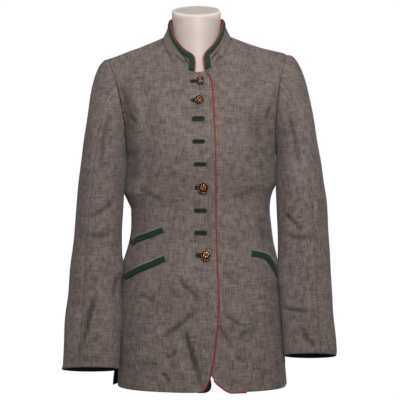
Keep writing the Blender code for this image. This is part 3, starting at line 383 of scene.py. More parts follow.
BODY = table(BODY_COLUMNS, BODY_ROWS)
SHOULDER = table(SHOULDER_COLUMNS, SHOULDER_ROWS)
FRONT = table(SWEEP_COLUMNS, FRONT_SWEEP)
BACK = table(SWEEP_COLUMNS, BACK_SWEEP)
RIGHT_EDGE = table(EDGE_COLUMNS, RIGHT_EDGE_ROWS)
LEFT_EDGE = table(EDGE_COLUMNS, LEFT_EDGE_ROWS)
FOLDS = table(FOLD_COLUMNS, FOLD_ROWS)
BUTTONHOLES = table(BUTTONHOLE_COLUMNS, BUTTONHOLE_ROWS)
WELTS = {name: table(WELT_COLUMNS, rows) for name, rows in WELT_ROWS.items()}
SLEEVES = {
    "right": table(SLEEVE_COLUMNS, RIGHT_SLEEVE_ROWS),
    "left": table(SLEEVE_COLUMNS, LEFT_SLEEVE_ROWS),
}


def body(column, z):
    return smooth(z, BODY["height"], BODY[column])


def ring(s, z, front):
    """A point of the body ring: s goes from -1 at one side seam to 1 at the other."""
    angle = s * math.pi / 2
    reach = np.where(s < 0, body("left", z), body("right", z))
    depth = body("front", z) if front else body("back", z)
    if front:
        power = np.where(s < 0, body("square_l", z), body("square_r", z))
    else:
        power = body("square_b", z)
    side, ahead = np.sin(angle), np.cos(angle)
    size = (np.abs(side / reach) ** power + np.abs(ahead / depth) ** power) ** (-1 / power)
    way = -1 if front else 1
    return np.stack([size * side, way * size * ahead, z + 0 * size], axis=-1)


def crown(s):
    """The point of the shoulder line, or of the crown over the neck, above a ring point."""
    base = ring(s, np.full_like(s, ARMPIT), True)[..., 0]
    tip = np.where(s < 0, -SHOULDER["x"][0], SHOULDER["x"][-1])
    side = np.where(s < 0, body("left", ARMPIT), body("right", ARMPIT))
    x = base * (1 + (tip / side - 1) * s * s)
    y = smooth(x, SHOULDER["x"], SHOULDER["y"])
    z = smooth(x, SHOULDER["x"], SHOULDER["height"])
    return np.stack([x, y, z], axis=-1)


def smooth_cloth(s, v, front=True):
    """A point of the cloth's outer face with no folds: v is 0 at the hem, 1 at the armpit
    and 2 on the shoulder line."""
    s, v = np.broadcast_arrays(np.asarray(s, float), np.asarray(v, float))
    low = ring(s, HEM + (ARMPIT - HEM) * np.clip(v, -0.1, 1), front)
    sweep = FRONT if front else BACK
    way = -1 if front else 1
    share, out = np.abs(s), np.sign(s)

    def pull(name):
        return smooth(share, sweep["share"], sweep[name])

    leave = np.stack(
        [out * pull("start_out"), way * pull("start_away"), pull("start_up")], axis=-1
    )
    meet = np.stack([out * pull("end_out"), way * pull("end_away"), pull("end_up")], axis=-1)
    t = np.clip(v - 1, 0, 1)[..., None]
    high = hermite(t, ring(s, np.full_like(s, ARMPIT), front), crown(s), leave, meet)
    return np.where((v > 1)[..., None], high, low)


def fold_rise(x, z, front):
    """How far the large folds lift the cloth at a place seen from the front or the back."""
    rise = np.zeros(np.shape(x))
    for side, x0, z0, x1, z1, half_width, height in zip(*FOLDS.values()):
        if (side == "front") != front:
            continue
        run_x, run_z = x1 - x0, z1 - z0
        length = math.hypot(run_x, run_z)
        along = ((x - x0) * run_x + (z - z0) * run_z) / length**2
        off = ((x - x0) * run_z - (z - z0) * run_x) / length
        past = np.maximum(np.maximum(-along, along - 1), 0) * length
        far = np.sqrt(off**2 + past**2) / half_width
        rise = rise + height * np.exp(-far * far)
    return rise


def face_normals(s, v, front):
    """The direction out of the smooth cloth on one side of the shoulder line."""
    step = 1e-4
    across = smooth_cloth(s + step, v, front) - smooth_cloth(s - step, v, front)
    up = smooth_cloth(s, np.clip(v, 0, 2 - step) + step, front)
    up = up - smooth_cloth(s, np.clip(v, step, 2) - step, front)
    return unit(np.cross(across, up) * (1 if front else -1))


def normals(s, v, front):
    """The direction out of the cloth, which the front and the back share on the shoulder
    line."""
    n = face_normals(s, v, front)
    other = face_normals(s, np.full_like(s, 2.0), not front)
    own = face_normals(s, np.full_like(s, 2.0), front)
    share = ease((v - SHARED_FROM) / (2 - SHARED_FROM))[..., None]
    return unit(n * (1 - share) + share * (own + other) / 2)


def cloth(s, v, front=True, lift=0.0):
    """A point of the cloth's outer face, moved out by lift."""
    s, v = np.broadcast_arrays(np.asarray(s, float), np.asarray(v, float))
    p = smooth_cloth(s, v, front)
    quiet = ease((np.abs(s) - QUIET_FROM) / QUIET_WIDTH)
    rise = fold_rise(p[..., 0], p[..., 2], front) * (1 - quiet)
    return p + normals(s, v, front) * (rise + lift)[..., None]


def s_of_x(x, v, front=True):
    """The s whose smooth cloth point has this x."""
    low = np.full(np.broadcast(x, v).shape, -0.999)
    low, high = halve(low, -low, lambda s: smooth_cloth(s, v, front)[..., 0] < x)
    return (low + high) / 2


def v_of_z(s, z):
    """The v at which the smooth front at s has this height."""
    low = np.zeros(np.broadcast(s, z).shape)
    low, high = halve(low, low + 2, lambda v: smooth_cloth(s, v)[..., 2] < z)
    return (low + high) / 2


def front_place(x, z):
    """s and v of the place on the front that is seen at (x, z)."""
    x, z = np.broadcast_arrays(np.asarray(x, float), np.asarray(z, float))
    v = (z - HEM) / (ARMPIT - HEM)
    for _ in range(6):
        s = s_of_x(x, np.clip(v, 0, 2))
        v = v_of_z(s, z)
    return s, v


def overlap_lift(x):
    """The right front lies over the left one near the middle."""
    return OVERLAP_LIFT * ease((x - OVERLAP_START) / (OVERLAP_FULL - OVERLAP_START))


def neck_level(s, v, front):
    """Below 1 inside the neck hole, above 1 outside."""
    p = smooth_cloth(s, v, front)
    across = (p[..., 0] - NECK_CENTRE[0]) / NECK_HALF[0]
    deep = (p[..., 1] - NECK_CENTRE[1]) / NECK_HALF[1]
    return across**2 + deep**2


def neckline_v(s, front):
    """The v at which the cloth at s reaches the neck hole, or 2 outside it."""
    low = np.full(np.shape(s), NECKLINE_FROM)
    return halve(low, np.full(np.shape(s), 2.0), lambda v: neck_level(s, v, front) > 1)[1]


def neck_point_s(sign):
    """The s where the shoulder line meets the neck hole."""
    top = np.array(2.0)
    low, high = halve(0.05, 0.95, lambda s: neck_level(sign * np.array(s), top, True) <= 1, 40)
    return sign * float(low + high) / 2


def side_inset(v):
    """How far a front ends before the side seam, as a share of the half ring."""
    z = HEM + (ARMPIT - HEM) * v
    gap = SEAM_GAP + VENT_GAP * ease((VENT_TOP - z) / VENT_RAMP)
    corner = CORNER_CUT * np.clip((HEM + CORNER_HEIGHT - z) / CORNER_HEIGHT, 0, 1) ** 2
    return np.where(v < 1, gap + corner, SEAM_GAP) / FRONT_HALF_LENGTH


# Levels up a front's edge, closer together near the hem: from, to and how many.
EDGE_LEVELS = ((0, 0.06, 13), (0.08, 0.3, 10), (0.35, 2, 34))


def edge_curve(edge, finer=1):
    """The levels up a front's edge and the s of the edge at each."""
    v = np.concatenate([np.linspace(*stretch_of_levels) for stretch_of_levels in EDGE_LEVELS])
    v = np.unique(np.concatenate([np.linspace(a, b, finer + 1) for a, b in zip(v[:-1], v[1:])]))
    s = np.zeros_like(v)
    for _ in range(6):
        z = smooth_cloth(s, v)[..., 2]
        s = s_of_x(smooth(z, edge["height"], edge["x"]), v)
    return v, s


def armhole(angle, side):
    """Where the sleeve starts, just off the armhole's edge: angle 0 on the shoulder, a
    quarter turn at the front and half a turn at the armpit."""
    sign = -1 if side == "right" else 1
    s = np.full_like(angle, sign * ARMHOLE_SHARE)
    front = angle <= math.pi
    v = np.where(front, 2 - angle / math.pi, angle / math.pi)
    p = np.where(front[..., None], smooth_cloth(s, v, True), smooth_cloth(s, v, False))
    n = np.where(front[..., None], normals(s, v, True), normals(s, v, False))
    low = (1 - np.cos(angle)) / 2
    return p + np.array([sign * ARMHOLE_GAP, 0, 0]) + n * (ARMPIT_GAP * low)[..., None]


def sleeve_ring(angle, z, side):
    """A point of the sleeve's outer face at a height."""
    rows = SLEEVES[side]
    sign = -1 if side == "right" else 1
    outer, inner, middle, half = (smooth(z, rows["height"], rows[name]) for name in SLEEVE_COLUMNS[1:])
    x = sign * ((outer + inner) / 2 + (outer - inner) / 2 * np.cos(angle))
    y = middle - half * np.sin(angle)
    return np.stack([x, y, z + 0 * x], axis=-1)


def sleeve_cap(angle, t, side):
    """From the armhole (t = 0) to the top of the sleeve's tube (t = 1)."""
    sign = -1 if side == "right" else 1
    start = armhole(angle, side)
    end = sleeve_ring(angle, np.full_like(angle, SLEEVE_TUBE_TOP), side)
    drop = (start[..., 2] - SLEEVE_TUBE_TOP) * CAP_ARRIVE_DOWN
    top = np.cos(angle / 2) ** 2
    out = sign * (CAP_TOP_OUT * top + CAP_SIDE_OUT * (1 - top) * np.sin(angle) ** 2)
    away = -CAP_SIDE_AHEAD * np.sin(angle)
    down = CAP_TOP_DOWN * top + CAP_LOW_DOWN * drop * (1 - top)
    leave = np.stack([out, away, -down], axis=-1)
    arrive = np.stack([sign * CAP_ARRIVE_OUT * top, 0 * top, -drop], axis=-1)
    return hermite(t[..., None], start, end, leave, arrive)


def sleeve(angle, w, side):
    """A point of the sleeve's outer face: w is 0 at the cuff, 1 at the top of the tube and
    2 at the armhole."""
    cuff = CUFF_HEIGHT[side] + CUFF_DROP * np.sin(angle)
    tube = sleeve_ring(angle, cuff + (SLEEVE_TUBE_TOP - cuff) * np.clip(w, 0, 1), side)
    cap = sleeve_cap(angle, np.clip(2 - w, 0, 1), side)
    return np.where((w > 1)[..., None], cap, tube)


def sleeve_normals(angle, w, side):
    """The direction out of the sleeve, which turns to the body's at the top of the armhole."""
    step = 1e-3
    across = sleeve(angle + step, w, side) - sleeve(angle - step, w, side)
    up = sleeve(angle, np.clip(w, 0, 2 - step) + step, side)
    up = up - sleeve(angle, np.clip(w, step, 2) - step, side)
    n = unit(np.cross(across, up) * (1 if side == "right" else -1))
    share = ease((w - 1.8) / 0.2) * ease((np.cos(angle) - 0.2) / 0.5)
    s = np.full_like(angle, ARMHOLE_SHARE * (-1 if side == "right" else 1))
    ahead = (angle <= math.pi)[..., None]
    v = 1 + np.abs(1 - angle / math.pi)
    body_n = np.where(ahead, normals(s, v, True), normals(s, v, False))
    return unit(n * (1 - share)[..., None] + body_n * share[..., None])


def collar_angle(a):
    """The turn round the neck at a share of the collar's length, 0 and 1 at its front
    ends, a quarter turn at each side and 0 at the back."""
    return COLLAR_TURN - math.pi + COLLAR_GAP_ANGLE + 2 * (math.pi - COLLAR_GAP_ANGLE) * a


def neck_seam(turn):
    """The point of the body's cloth on the neck hole at a turn, 0 at the back."""
    x = NECK_CENTRE[0] + NECK_HALF[0] * np.sin(turn)
    y = NECK_CENTRE[1] + NECK_HALF[1] * np.cos(turn)
    front = np.cos(turn) < 0
    best = []
    for side in (True, False):
        v = np.full(np.shape(turn), 1.8)
        for _ in range(14):
            s = s_of_x(x, v, side)
            step = 1e-3
            here = smooth_cloth(s, v, side)[..., 1]
            there = smooth_cloth(s, v - step, side)[..., 1]
            v = np.clip(v + (y - here) / ((here - there) / step + 1e-9) * 0.7, 1.2, 2)
        best.append(smooth_cloth(s_of_x(x, v, side), v, side))
    return np.where(front[..., None], best[0], best[1])


SEAM_TURNS = np.linspace(-1.1 * math.pi, 1.1 * math.pi, 80)
SEAM_HEIGHTS = neck_seam(SEAM_TURNS)[..., 2]


def collar(a, h, lift=0.0):
    """A point of the stand collar's outer face: a is the share of its length, h the height
    above the neck seam and lift how far it is moved out."""
    a, h = np.broadcast_arrays(np.asarray(a, float), np.asarray(h, float))
    turn = collar_angle(a)
    low_x = NECK_CENTRE[0] + (NECK_HALF[0] - COLLAR_INSET) * np.sin(turn)
    low_y = NECK_CENTRE[1] + (NECK_HALF[1] - COLLAR_INSET) * np.cos(turn)
    low_z = np.interp(turn, SEAM_TURNS, SEAM_HEIGHTS) + COLLAR_SEAM_GAP
    forward = np.clip(-np.cos(turn), 0, 1)
    ahead = np.arcsin(forward) / (math.pi / 2)
    top_x = COLLAR_TOP_CENTRE[0] + COLLAR_TOP_HALF[0] * np.sin(turn)
    top_y = COLLAR_TOP_CENTRE[1] + COLLAR_TOP_HALF[1] * np.cos(turn)
    top_z = COLLAR_TOP_SIDE - COLLAR_TOP_FRONT_DROP * ahead
    top_z = top_z + COLLAR_TOP_BACK_RISE * np.clip(np.cos(turn), 0, 1)
    low = np.stack([low_x, low_y, low_z], axis=-1)
    top = np.stack([top_x, top_y, top_z], axis=-1)
    rise = unit(top - low)
    around = np.stack([np.cos(turn), -np.sin(turn), 0 * turn], axis=-1)
    out = unit(np.cross(rise, around))
    bow = COLLAR_BOW * np.sin(np.clip(h / COLLAR_HEIGHT, 0, 1) * math.pi)
    return low + rise * h[..., None] + out * (lift - bow)[..., None]


def collar_out(a, h):
    """The direction out of the collar."""
    return unit(collar(a, h, 0.001) - collar(a, h, 0.0))


def collar_outline(inset):
    """The collar's outline from one front end over the top to the other, as (a, h), moved
    in from its edge."""
    corner = max(COLLAR_CORNER - inset, 0.003)
    height = COLLAR_HEIGHT - inset
    start = inset / COLLAR_LENGTH
    path = [(start, 0.0), (start, (height - corner) * 0.5), (start, height - corner)]
    for k in range(1, CORNER_STEPS + 1):
        turn = k / CORNER_STEPS * math.pi / 2
        a = inset + corner * (1 - math.cos(turn))
        path.append((a / COLLAR_LENGTH, height - corner + corner * math.sin(turn)))
    side = inset + corner
    for k in range(1, TOP_STEPS):
        path.append(((side + (COLLAR_LENGTH / 2 - side) * k / TOP_STEPS) / COLLAR_LENGTH, height))
    path.append((0.5, height))
    path += [(1 - a, h) for a, h in path[-2::-1]]
    return np.array(path)


def beside(path, away, way):
    """A path moved off the edge that it follows, far enough for a piping to lie there."""
    side = unit(np.cross(np.gradient(path, axis=0), away))
    return path + side * (PIPING_RADIUS + PIPING_GAP) * way


# Creases of the cloth: a path of three places seen from the front or the back, the half
# width, how far the cloth stands out (or in) along it, and how much steeper it is on the
# right of the path.
CREASE_COLUMNS = ("side", "x0", "z0", "x1", "z1", "x2", "z2", "half_width", "rise", "lean")
CREASE_ROWS = (
    ("front", -0.033, 0.132, -0.017, 0.082, 0.003, 0.016, 0.0062, -0.0085, 0.60),
    ("front", -0.052, 0.122, -0.038, 0.070, -0.026, 0.016, 0.0130, 0.0040, 1.0),
    ("front", 0.002, 0.100, 0.012, 0.070, 0.016, 0.040, 0.0080, 0.0030, 1.0),
    ("front", -0.046, 0.236, -0.022, 0.212, 0.000, 0.192, 0.0065, -0.0034, 0.5),
    ("front", -0.052, 0.252, -0.030, 0.238, -0.010, 0.222, 0.0080, 0.0022, 1.0),
    ("front", -0.006, 0.176, -0.036, 0.148, -0.088, 0.106, 0.0058, -0.0038, 1.0),
    ("front", -0.047, 0.095, -0.058, 0.082, -0.070, 0.072, 0.0047, -0.0034, 1.0),
    ("front", -0.080, 0.048, -0.069, 0.037, -0.058, 0.028, 0.0047, -0.0032, 0.6),
    ("front", -0.100, 0.140, -0.086, 0.120, -0.080, 0.096, 0.0090, 0.0024, 1.0),
    ("front", -0.120, 0.060, -0.104, 0.064, -0.082, 0.056, 0.0065, -0.0026, 1.0),
    ("front", -0.128, 0.205, -0.110, 0.198, -0.090, 0.180, 0.0065, -0.0024, 1.0),
    ("front", 0.038, 0.140, 0.050, 0.122, 0.062, 0.100, 0.0058, -0.0038, 0.5),
    ("front", 0.048, 0.162, 0.070, 0.150, 0.090, 0.138, 0.0050, -0.0034, 0.6),
    ("front", 0.078, 0.121, 0.090, 0.127, 0.104, 0.131, 0.0043, -0.0026, 1.0),
    ("front", 0.044, 0.252, 0.054, 0.244, 0.064, 0.236, 0.0043, -0.0026, 0.6),
    ("front", 0.070, 0.082, 0.084, 0.072, 0.104, 0.070, 0.0058, -0.0022, 1.0),
    ("front", 0.118, 0.190, 0.124, 0.150, 0.126, 0.100, 0.0110, 0.0026, 1.0),
    ("front", -0.156, 0.640, -0.147, 0.570, -0.139, 0.500, 0.0150, -0.0050, 1.0),
    ("front", -0.139, 0.505, -0.141, 0.460, -0.141, 0.410, 0.0130, -0.0050, 1.0),
    ("front", -0.127, 0.620, -0.124, 0.560, -0.122, 0.500, 0.0140, 0.0028, 1.0),
    ("front", -0.148, 0.570, -0.138, 0.560, -0.127, 0.551, 0.0050, -0.0034, 1.0),
    ("front", 0.122, 0.575, 0.121, 0.540, 0.119, 0.505, 0.0240, -0.0056, 1.0),
    ("front", 0.120, 0.511, 0.127, 0.459, 0.131, 0.424, 0.0034, -0.0016, 1.0),
    ("front", 0.124, 0.366, 0.130, 0.330, 0.140, 0.293, 0.0130, -0.0066, 1.0),
    ("front", 0.147, 0.590, 0.143, 0.574, 0.141, 0.556, 0.0050, -0.0036, 1.0),
    ("front", -0.122, 0.424, -0.100, 0.402, -0.066, 0.392, 0.0072, -0.0024, 1.0),
    ("front", 0.056, 0.398, 0.095, 0.408, 0.128, 0.428, 0.0072, -0.0024, 1.0),
    ("front", -0.060, 0.716, -0.050, 0.706, -0.034, 0.690, 0.0040, -0.0032, 1.0),
    ("front", -0.066, 0.700, -0.054, 0.690, -0.044, 0.684, 0.0043, -0.0022, 1.0),
    ("front", -0.040, 0.688, -0.032, 0.681, -0.024, 0.678, 0.0045, -0.0020, 1.0),
    ("front", 0.046, 0.716, 0.036, 0.706, 0.020, 0.690, 0.0040, -0.0032, 1.0),
    ("front", 0.054, 0.700, 0.044, 0.690, 0.034, 0.686, 0.0043, -0.0022, 1.0),
    ("collar", -0.047, 0.708, -0.031, 0.688, -0.018, 0.668, 0.0026, -0.0026, 1.0),
    ("collar", -0.054, 0.698, -0.042, 0.686, -0.030, 0.672, 0.0024, -0.0022, 1.0),
    ("collar", -0.034, 0.704, -0.027, 0.692, -0.021, 0.684, 0.0022, -0.0012, 1.0),
    ("collar", 0.041, 0.706, 0.031, 0.695, 0.023, 0.684, 0.0026, -0.0026, 1.0),
    ("collar", 0.048, 0.694, 0.038, 0.688, 0.027, 0.676, 0.0024, -0.0020, 1.0),
    ("back", -0.060, 0.690, -0.040, 0.670, 0.000, 0.664, 0.0058, -0.0020, 1.0),
    ("back", 0.060, 0.690, 0.040, 0.672, 0.002, 0.662, 0.0058, -0.0020, 1.0),
    ("back", -0.130, 0.560, -0.110, 0.500, -0.100, 0.440, 0.0079, -0.0045, 1.0),
    ("back", 0.128, 0.568, 0.112, 0.506, 0.098, 0.452, 0.0079, -0.0048, 1.0),
    ("back", -0.120, 0.400, -0.080, 0.385, -0.030, 0.390, 0.0065, -0.0034, 0.6),
    ("back", 0.118, 0.410, 0.085, 0.392, 0.040, 0.386, 0.0065, -0.0034, 0.6),
    ("back", -0.040, 0.290, -0.060, 0.180, -0.066, 0.060, 0.0094, -0.0050, 0.7),
    ("back", 0.052, 0.280, 0.060, 0.170, 0.072, 0.050, 0.0094, -0.0052, 1.0),
    ("back", -0.110, 0.250, -0.128, 0.160, -0.134, 0.060, 0.0079, -0.0040, 1.0),
    ("back", 0.020, 0.200, 0.014, 0.120, 0.016, 0.030, 0.0120, 0.0036, 1.0),
    ("sleeve_front", -0.210, 0.206, -0.228, 0.151, -0.249, 0.060, 0.0065, -0.0045, 1.0),
    ("sleeve_front", -0.226, 0.230, -0.246, 0.170, -0.262, 0.100, 0.0110, 0.0026, 1.0),
    ("sleeve_front", -0.166, 0.240, -0.173, 0.218, -0.177, 0.190, 0.0050, -0.0036, 1.0),
    ("sleeve_front", -0.172, 0.402, -0.200, 0.374, -0.236, 0.362, 0.0065, -0.0036, 0.6),
    ("sleeve_front", -0.178, 0.330, -0.205, 0.322, -0.244, 0.328, 0.0065, -0.0034, 1.0),
    ("sleeve_front", -0.184, 0.580, -0.198, 0.510, -0.200, 0.440, 0.0079, -0.0036, 1.0),
    ("sleeve_front", -0.222, 0.640, -0.226, 0.580, -0.222, 0.520, 0.0120, 0.0024, 1.0),
    ("sleeve_front", 0.168, 0.173, 0.192, 0.169, 0.220, 0.168, 0.0058, -0.0044, 0.6),
    ("sleeve_front", 0.170, 0.372, 0.188, 0.352, 0.212, 0.330, 0.0061, -0.0042, 0.6),
    ("sleeve_front", 0.174, 0.328, 0.200, 0.318, 0.240, 0.324, 0.0065, -0.0034, 1.0),
    ("sleeve_front", 0.180, 0.580, 0.194, 0.510, 0.204, 0.450, 0.0079, -0.0036, 1.0),
    ("sleeve_front", 0.203, 0.145, 0.220, 0.112, 0.244, 0.090, 0.0065, -0.0032, 1.0),
    ("sleeve_front", 0.226, 0.640, 0.230, 0.570, 0.226, 0.500, 0.0120, 0.0024, 1.0),
    ("sleeve_back", -0.176, 0.430, -0.210, 0.384, -0.250, 0.370, 0.0079, -0.0044, 0.6),
    ("sleeve_back", -0.174, 0.330, -0.206, 0.300, -0.252, 0.300, 0.0065, -0.0036, 1.0),
    ("sleeve_back", -0.190, 0.230, -0.220, 0.180, -0.236, 0.120, 0.0072, -0.0036, 1.0),
    ("sleeve_back", 0.178, 0.418, 0.212, 0.378, 0.250, 0.372, 0.0079, -0.0044, 0.6),
    ("sleeve_back", 0.174, 0.320, 0.205, 0.296, 0.252, 0.292, 0.0065, -0.0036, 1.0),
    ("sleeve_back", 0.190, 0.220, 0.216, 0.180, 0.238, 0.130, 0.0072, -0.0036, 1.0),
)
# Rises of the sleeves, all round, where they come to lie against the body.
CLOSING_ROWS = (
    (-0.158, 0.540, -0.156, 0.480, -0.156, 0.425, 0.0150, 0.0036, 1.0),
    (0.160, 0.272, 0.161, 0.240, 0.162, 0.205, 0.0160, 0.0036, 1.0),
    (-0.158, 0.284, -0.159, 0.256, -0.160, 0.225, 0.0160, 0.0036, 1.0),
)
for side in ("sleeve_front", "sleeve_back"):
    CREASE_ROWS += tuple((side, *row) for row in CLOSING_ROWS)

# Waves of the cloth that are too slight to be placed one by one.
RIPPLE_COLUMNS = ("across", "along", "turn", "rise")
RIPPLE_ROWS = (
    (31.0, 9.0, 0.4, 0.00080),
    (17.0, 23.0, 1.9, 0.00090),
    (53.0, 15.0, 2.7, 0.00045),
    (11.0, 47.0, 4.2, 0.00050),
)

# The grids of the panels: the step between rows, and how many rows or columns.
FINE_STEP = 0.0024
FINE_UPPER = 88
FRONT_SIDE_STEPS = 62
FRONT_MIDDLE_STEPS = 56
BACK_SIDE_STEPS = 50
BACK_MIDDLE_STEPS = 42
SLEEVE_TUBE_STEPS = 122
SLEEVE_CAP_STEPS = 76
SLEEVE_FINER = 8
# How a crease is drawn: points of its path, how far it reaches in half widths, the share
# of its length over which it fades at each end, and what is left of it there.
PATH_POINTS = 25
CREASE_REACH = 3.5
FADE_IN = 0.25
FADE_OUT = 0.35
FADE_REST = 0.15
# How dark the painted shade in the deepest crease is, how narrow that painted shade is, how much
# lighter a ridge is painted as a painted highlight, and the half width above which a crease's painted
# shade is weaker.
FULL_DEPTH = 0.0050
FOLD_SHADE = 0.60
FOLD_CORE = 0.85
RIDGE_LIGHT = 0.35
CRISP_WIDTH = 0.0075
# Creases fade towards a panel's edges over these widths, and the edges dip a little.
CALM_WIDTH = 0.012
CALM_SIDE_WIDTH = 0.004
CALM_SLEEVE_WIDTH = 0.010
EDGE_SINK = 0.0005
EDGE_WIDTH = 0.0035
# The threads of each panel start at another place of the pattern.
BACK_THREADS = 2
SLEEVE_THREADS = {"left": 4, "right": 6}
COLLAR_THREADS = 8
SLEEVE_RADIUS = 0.055
# The turned tip of the right front.
TIP_TOP = 0.040
TIP_WIDTH = 0.0100
TIP_WALL = 0.0008
TIP_DEPTH = 0.0026
TIP_CURL = 0.0030
# How the trims lie: the gap under them, and how much of the cloth's creases they take on.
TRIM_GAP = 0.0006
TRIM_SHARE = 0.8
PIPING_START = HEM + 0.0018
RIGHT_PIPING_TOP = 0.657
TWIST_RISE = 0.06
TWIST_LENGTH = 0.0016

CREASES = table(CREASE_COLUMNS, CREASE_ROWS)
RIPPLES = table(RIPPLE_COLUMNS, RIPPLE_ROWS)


def crease_rise(x, z, side):
    """How far the creases lift the cloth at a place, and how much painted shade darkens it in them."""
    rise = np.zeros(np.shape(x))
    shade = np.zeros(np.shape(x))
    for where, x0, z0, x1, z1, x2, z2, half_width, height, lean in zip(*CREASES.values()):
        if where != side:
            continue
        bend_x, bend_z = 2 * x1 - (x0 + x2) / 2, 2 * z1 - (z0 + z2) / 2
        t = np.linspace(0, 1, PATH_POINTS)
        path_x = (1 - t) ** 2 * x0 + 2 * t * (1 - t) * bend_x + t * t * x2
        path_z = (1 - t) ** 2 * z0 + 2 * t * (1 - t) * bend_z + t * t * z2
        reach = CREASE_REACH * half_width
        near = (
            (x > path_x.min() - reach) & (x < path_x.max() + reach)
            & (z > path_z.min() - reach) & (z < path_z.max() + reach)
        )
        if not near.any():
            continue
        here_x, here_z = x[near], z[near]
        best = np.full(here_x.shape, 1e9)
        along = np.zeros(here_x.shape)
        right = np.zeros(here_x.shape)
        for k in range(len(t) - 1):
            run_x, run_z = path_x[k + 1] - path_x[k], path_z[k + 1] - path_z[k]
            length = run_x**2 + run_z**2
            share = np.clip(((here_x - path_x[k]) * run_x + (here_z - path_z[k]) * run_z) / length, 0, 1)
            off = np.hypot(here_x - path_x[k] - share * run_x, here_z - path_z[k] - share * run_z)
            closer = off < best
            best = np.where(closer, off, best)
            along = np.where(closer, t[k] + share * (t[1] - t[0]), along)
            over = (here_x - path_x[k]) * run_z - (here_z - path_z[k]) * run_x
            right = np.where(closer, over, right)
        far = best / half_width / np.where(right > 0, lean, 1.0)
        taper = ease(along / FADE_IN) * ease((1 - along) / FADE_OUT)
        taper = taper * (1 - FADE_REST) + FADE_REST
        bump = height * taper * (1 - 0.35 * far**2) * np.exp(-far * far * 0.9)
        rise[near] += bump
        # Painted shade in a fold, or a painted highlight on a ridge.
        depth = min(1.0, -height / FULL_DEPTH) if height < 0 else -height / FULL_DEPTH * RIDGE_LIGHT
        depth = depth * min(1.0, CRISP_WIDTH / half_width)
        shade[near] += depth * FOLD_SHADE * taper * np.exp(-((far / FOLD_CORE) ** 2))
    return rise, shade


def ripple_rise(x, z):
    """How far the slight waves lift the cloth."""
    rise = np.zeros(np.shape(x))
    for across, along, turn, height in zip(*RIPPLES.values()):
        bend = 1.4 * np.sin(x * along * 0.8 + turn)
        rise = rise + height * np.sin(x * across + z * along + turn + bend)
        rise = rise + height * 0.6 * np.sin(z * across * 1.3 - x * along + 2 * turn)
    return rise


def pick_slot(name, rough):
    """A new material, its node tree and its shader."""
    material = bpy.data.materials.new(name)
    material.use_nodes = True
    tree = material.node_tree
    shader = tree.nodes["Principled BSDF"]
    shader.inputs["Roughness"].default_value = rough
    return material, tree, shader


def fill(tree, socket, value):
    """Gives a socket a value, or a link where the value is another socket."""
    if isinstance(value, bpy.types.NodeSocket):
        tree.links.new(value, socket)
    else:
        socket.default_value = value


def node(tree, kind, sockets=None, **settings):
    """A new node with its settings, and with values or links for its sockets."""
    made = tree.nodes.new(kind)
    for key, value in settings.items():
        setattr(made, key, value)
    for key, value in (sockets or {}).items():
        fill(tree, made.inputs[key], value)
    return made


def math_node(tree, operation, a, b):
    return node(tree, "ShaderNodeMath", {0: a, 1: b}, operation=operation).outputs[0]


def noise(tree, place, scale, detail, rough, **settings):
    sockets = {"Vector": place, "Scale": scale, "Detail": detail, "Roughness": rough}
    return node(tree, "ShaderNodeTexNoise", sockets, **settings).outputs[0]


def ramp(tree, source, *stops):
    """Colours along a value. Each stop is a place and a colour, the two ends first."""
    made = node(tree, "ShaderNodeValToRGB", {0: source})
    elements = made.color_ramp.elements
    for k, (place, colour) in enumerate(stops):
        stop = elements[k] if k < 2 else elements.new(place)
        stop.position = place
        stop.color = (*colour, 1)
    return made.outputs[0]


def stretch(tree, source, low, high):
    """A value that goes from 0 at low to 1 at high."""
    sockets = {"Value": source, "From Min": low, "From Max": high}
    return node(tree, "ShaderNodeMapRange", sockets).outputs[0]


def blend(tree, share, first, second, kind="MIX"):
    """A mix of two colours."""
    sockets = {0: share, 6: first, 7: second}
    return node(tree, "ShaderNodeMix", sockets, data_type="RGBA", blend_type=kind).outputs[2]


def attribute(tree, name):
    """The value that the points of a mesh keep under a name."""
    return node(tree, "ShaderNodeAttribute", attribute_name=name).outputs["Fac"]


def finish_shader(tree, shader, colour, height, strength, distance, **values):
    """Links the colour and the bumps, and sets what is the same all over."""
    tree.links.new(colour, shader.inputs["Base Color"])
    sockets = {"Height": height, "Strength": strength, "Distance": distance}
    tree.links.new(node(tree, "ShaderNodeBump", sockets).outputs[0], shader.inputs["Normal"])
    for key, value in values.items():
        shader.inputs[key.replace("_", " ")].default_value = value


def streaks(tree, coordinate, across, along, detail, turn=0.0):
    """Noise drawn out along one direction of the cloth."""
    sockets = {
        "Vector": coordinate,
        "Scale": (1 / across, 1 / along, 1.0),
        "Location": (turn, turn * 1.7, turn),
    }
    place = node(tree, "ShaderNodeMapping", sockets).outputs[0]
    return noise(tree, place, 1.0, detail, 0.55, noise_dimensions="2D")


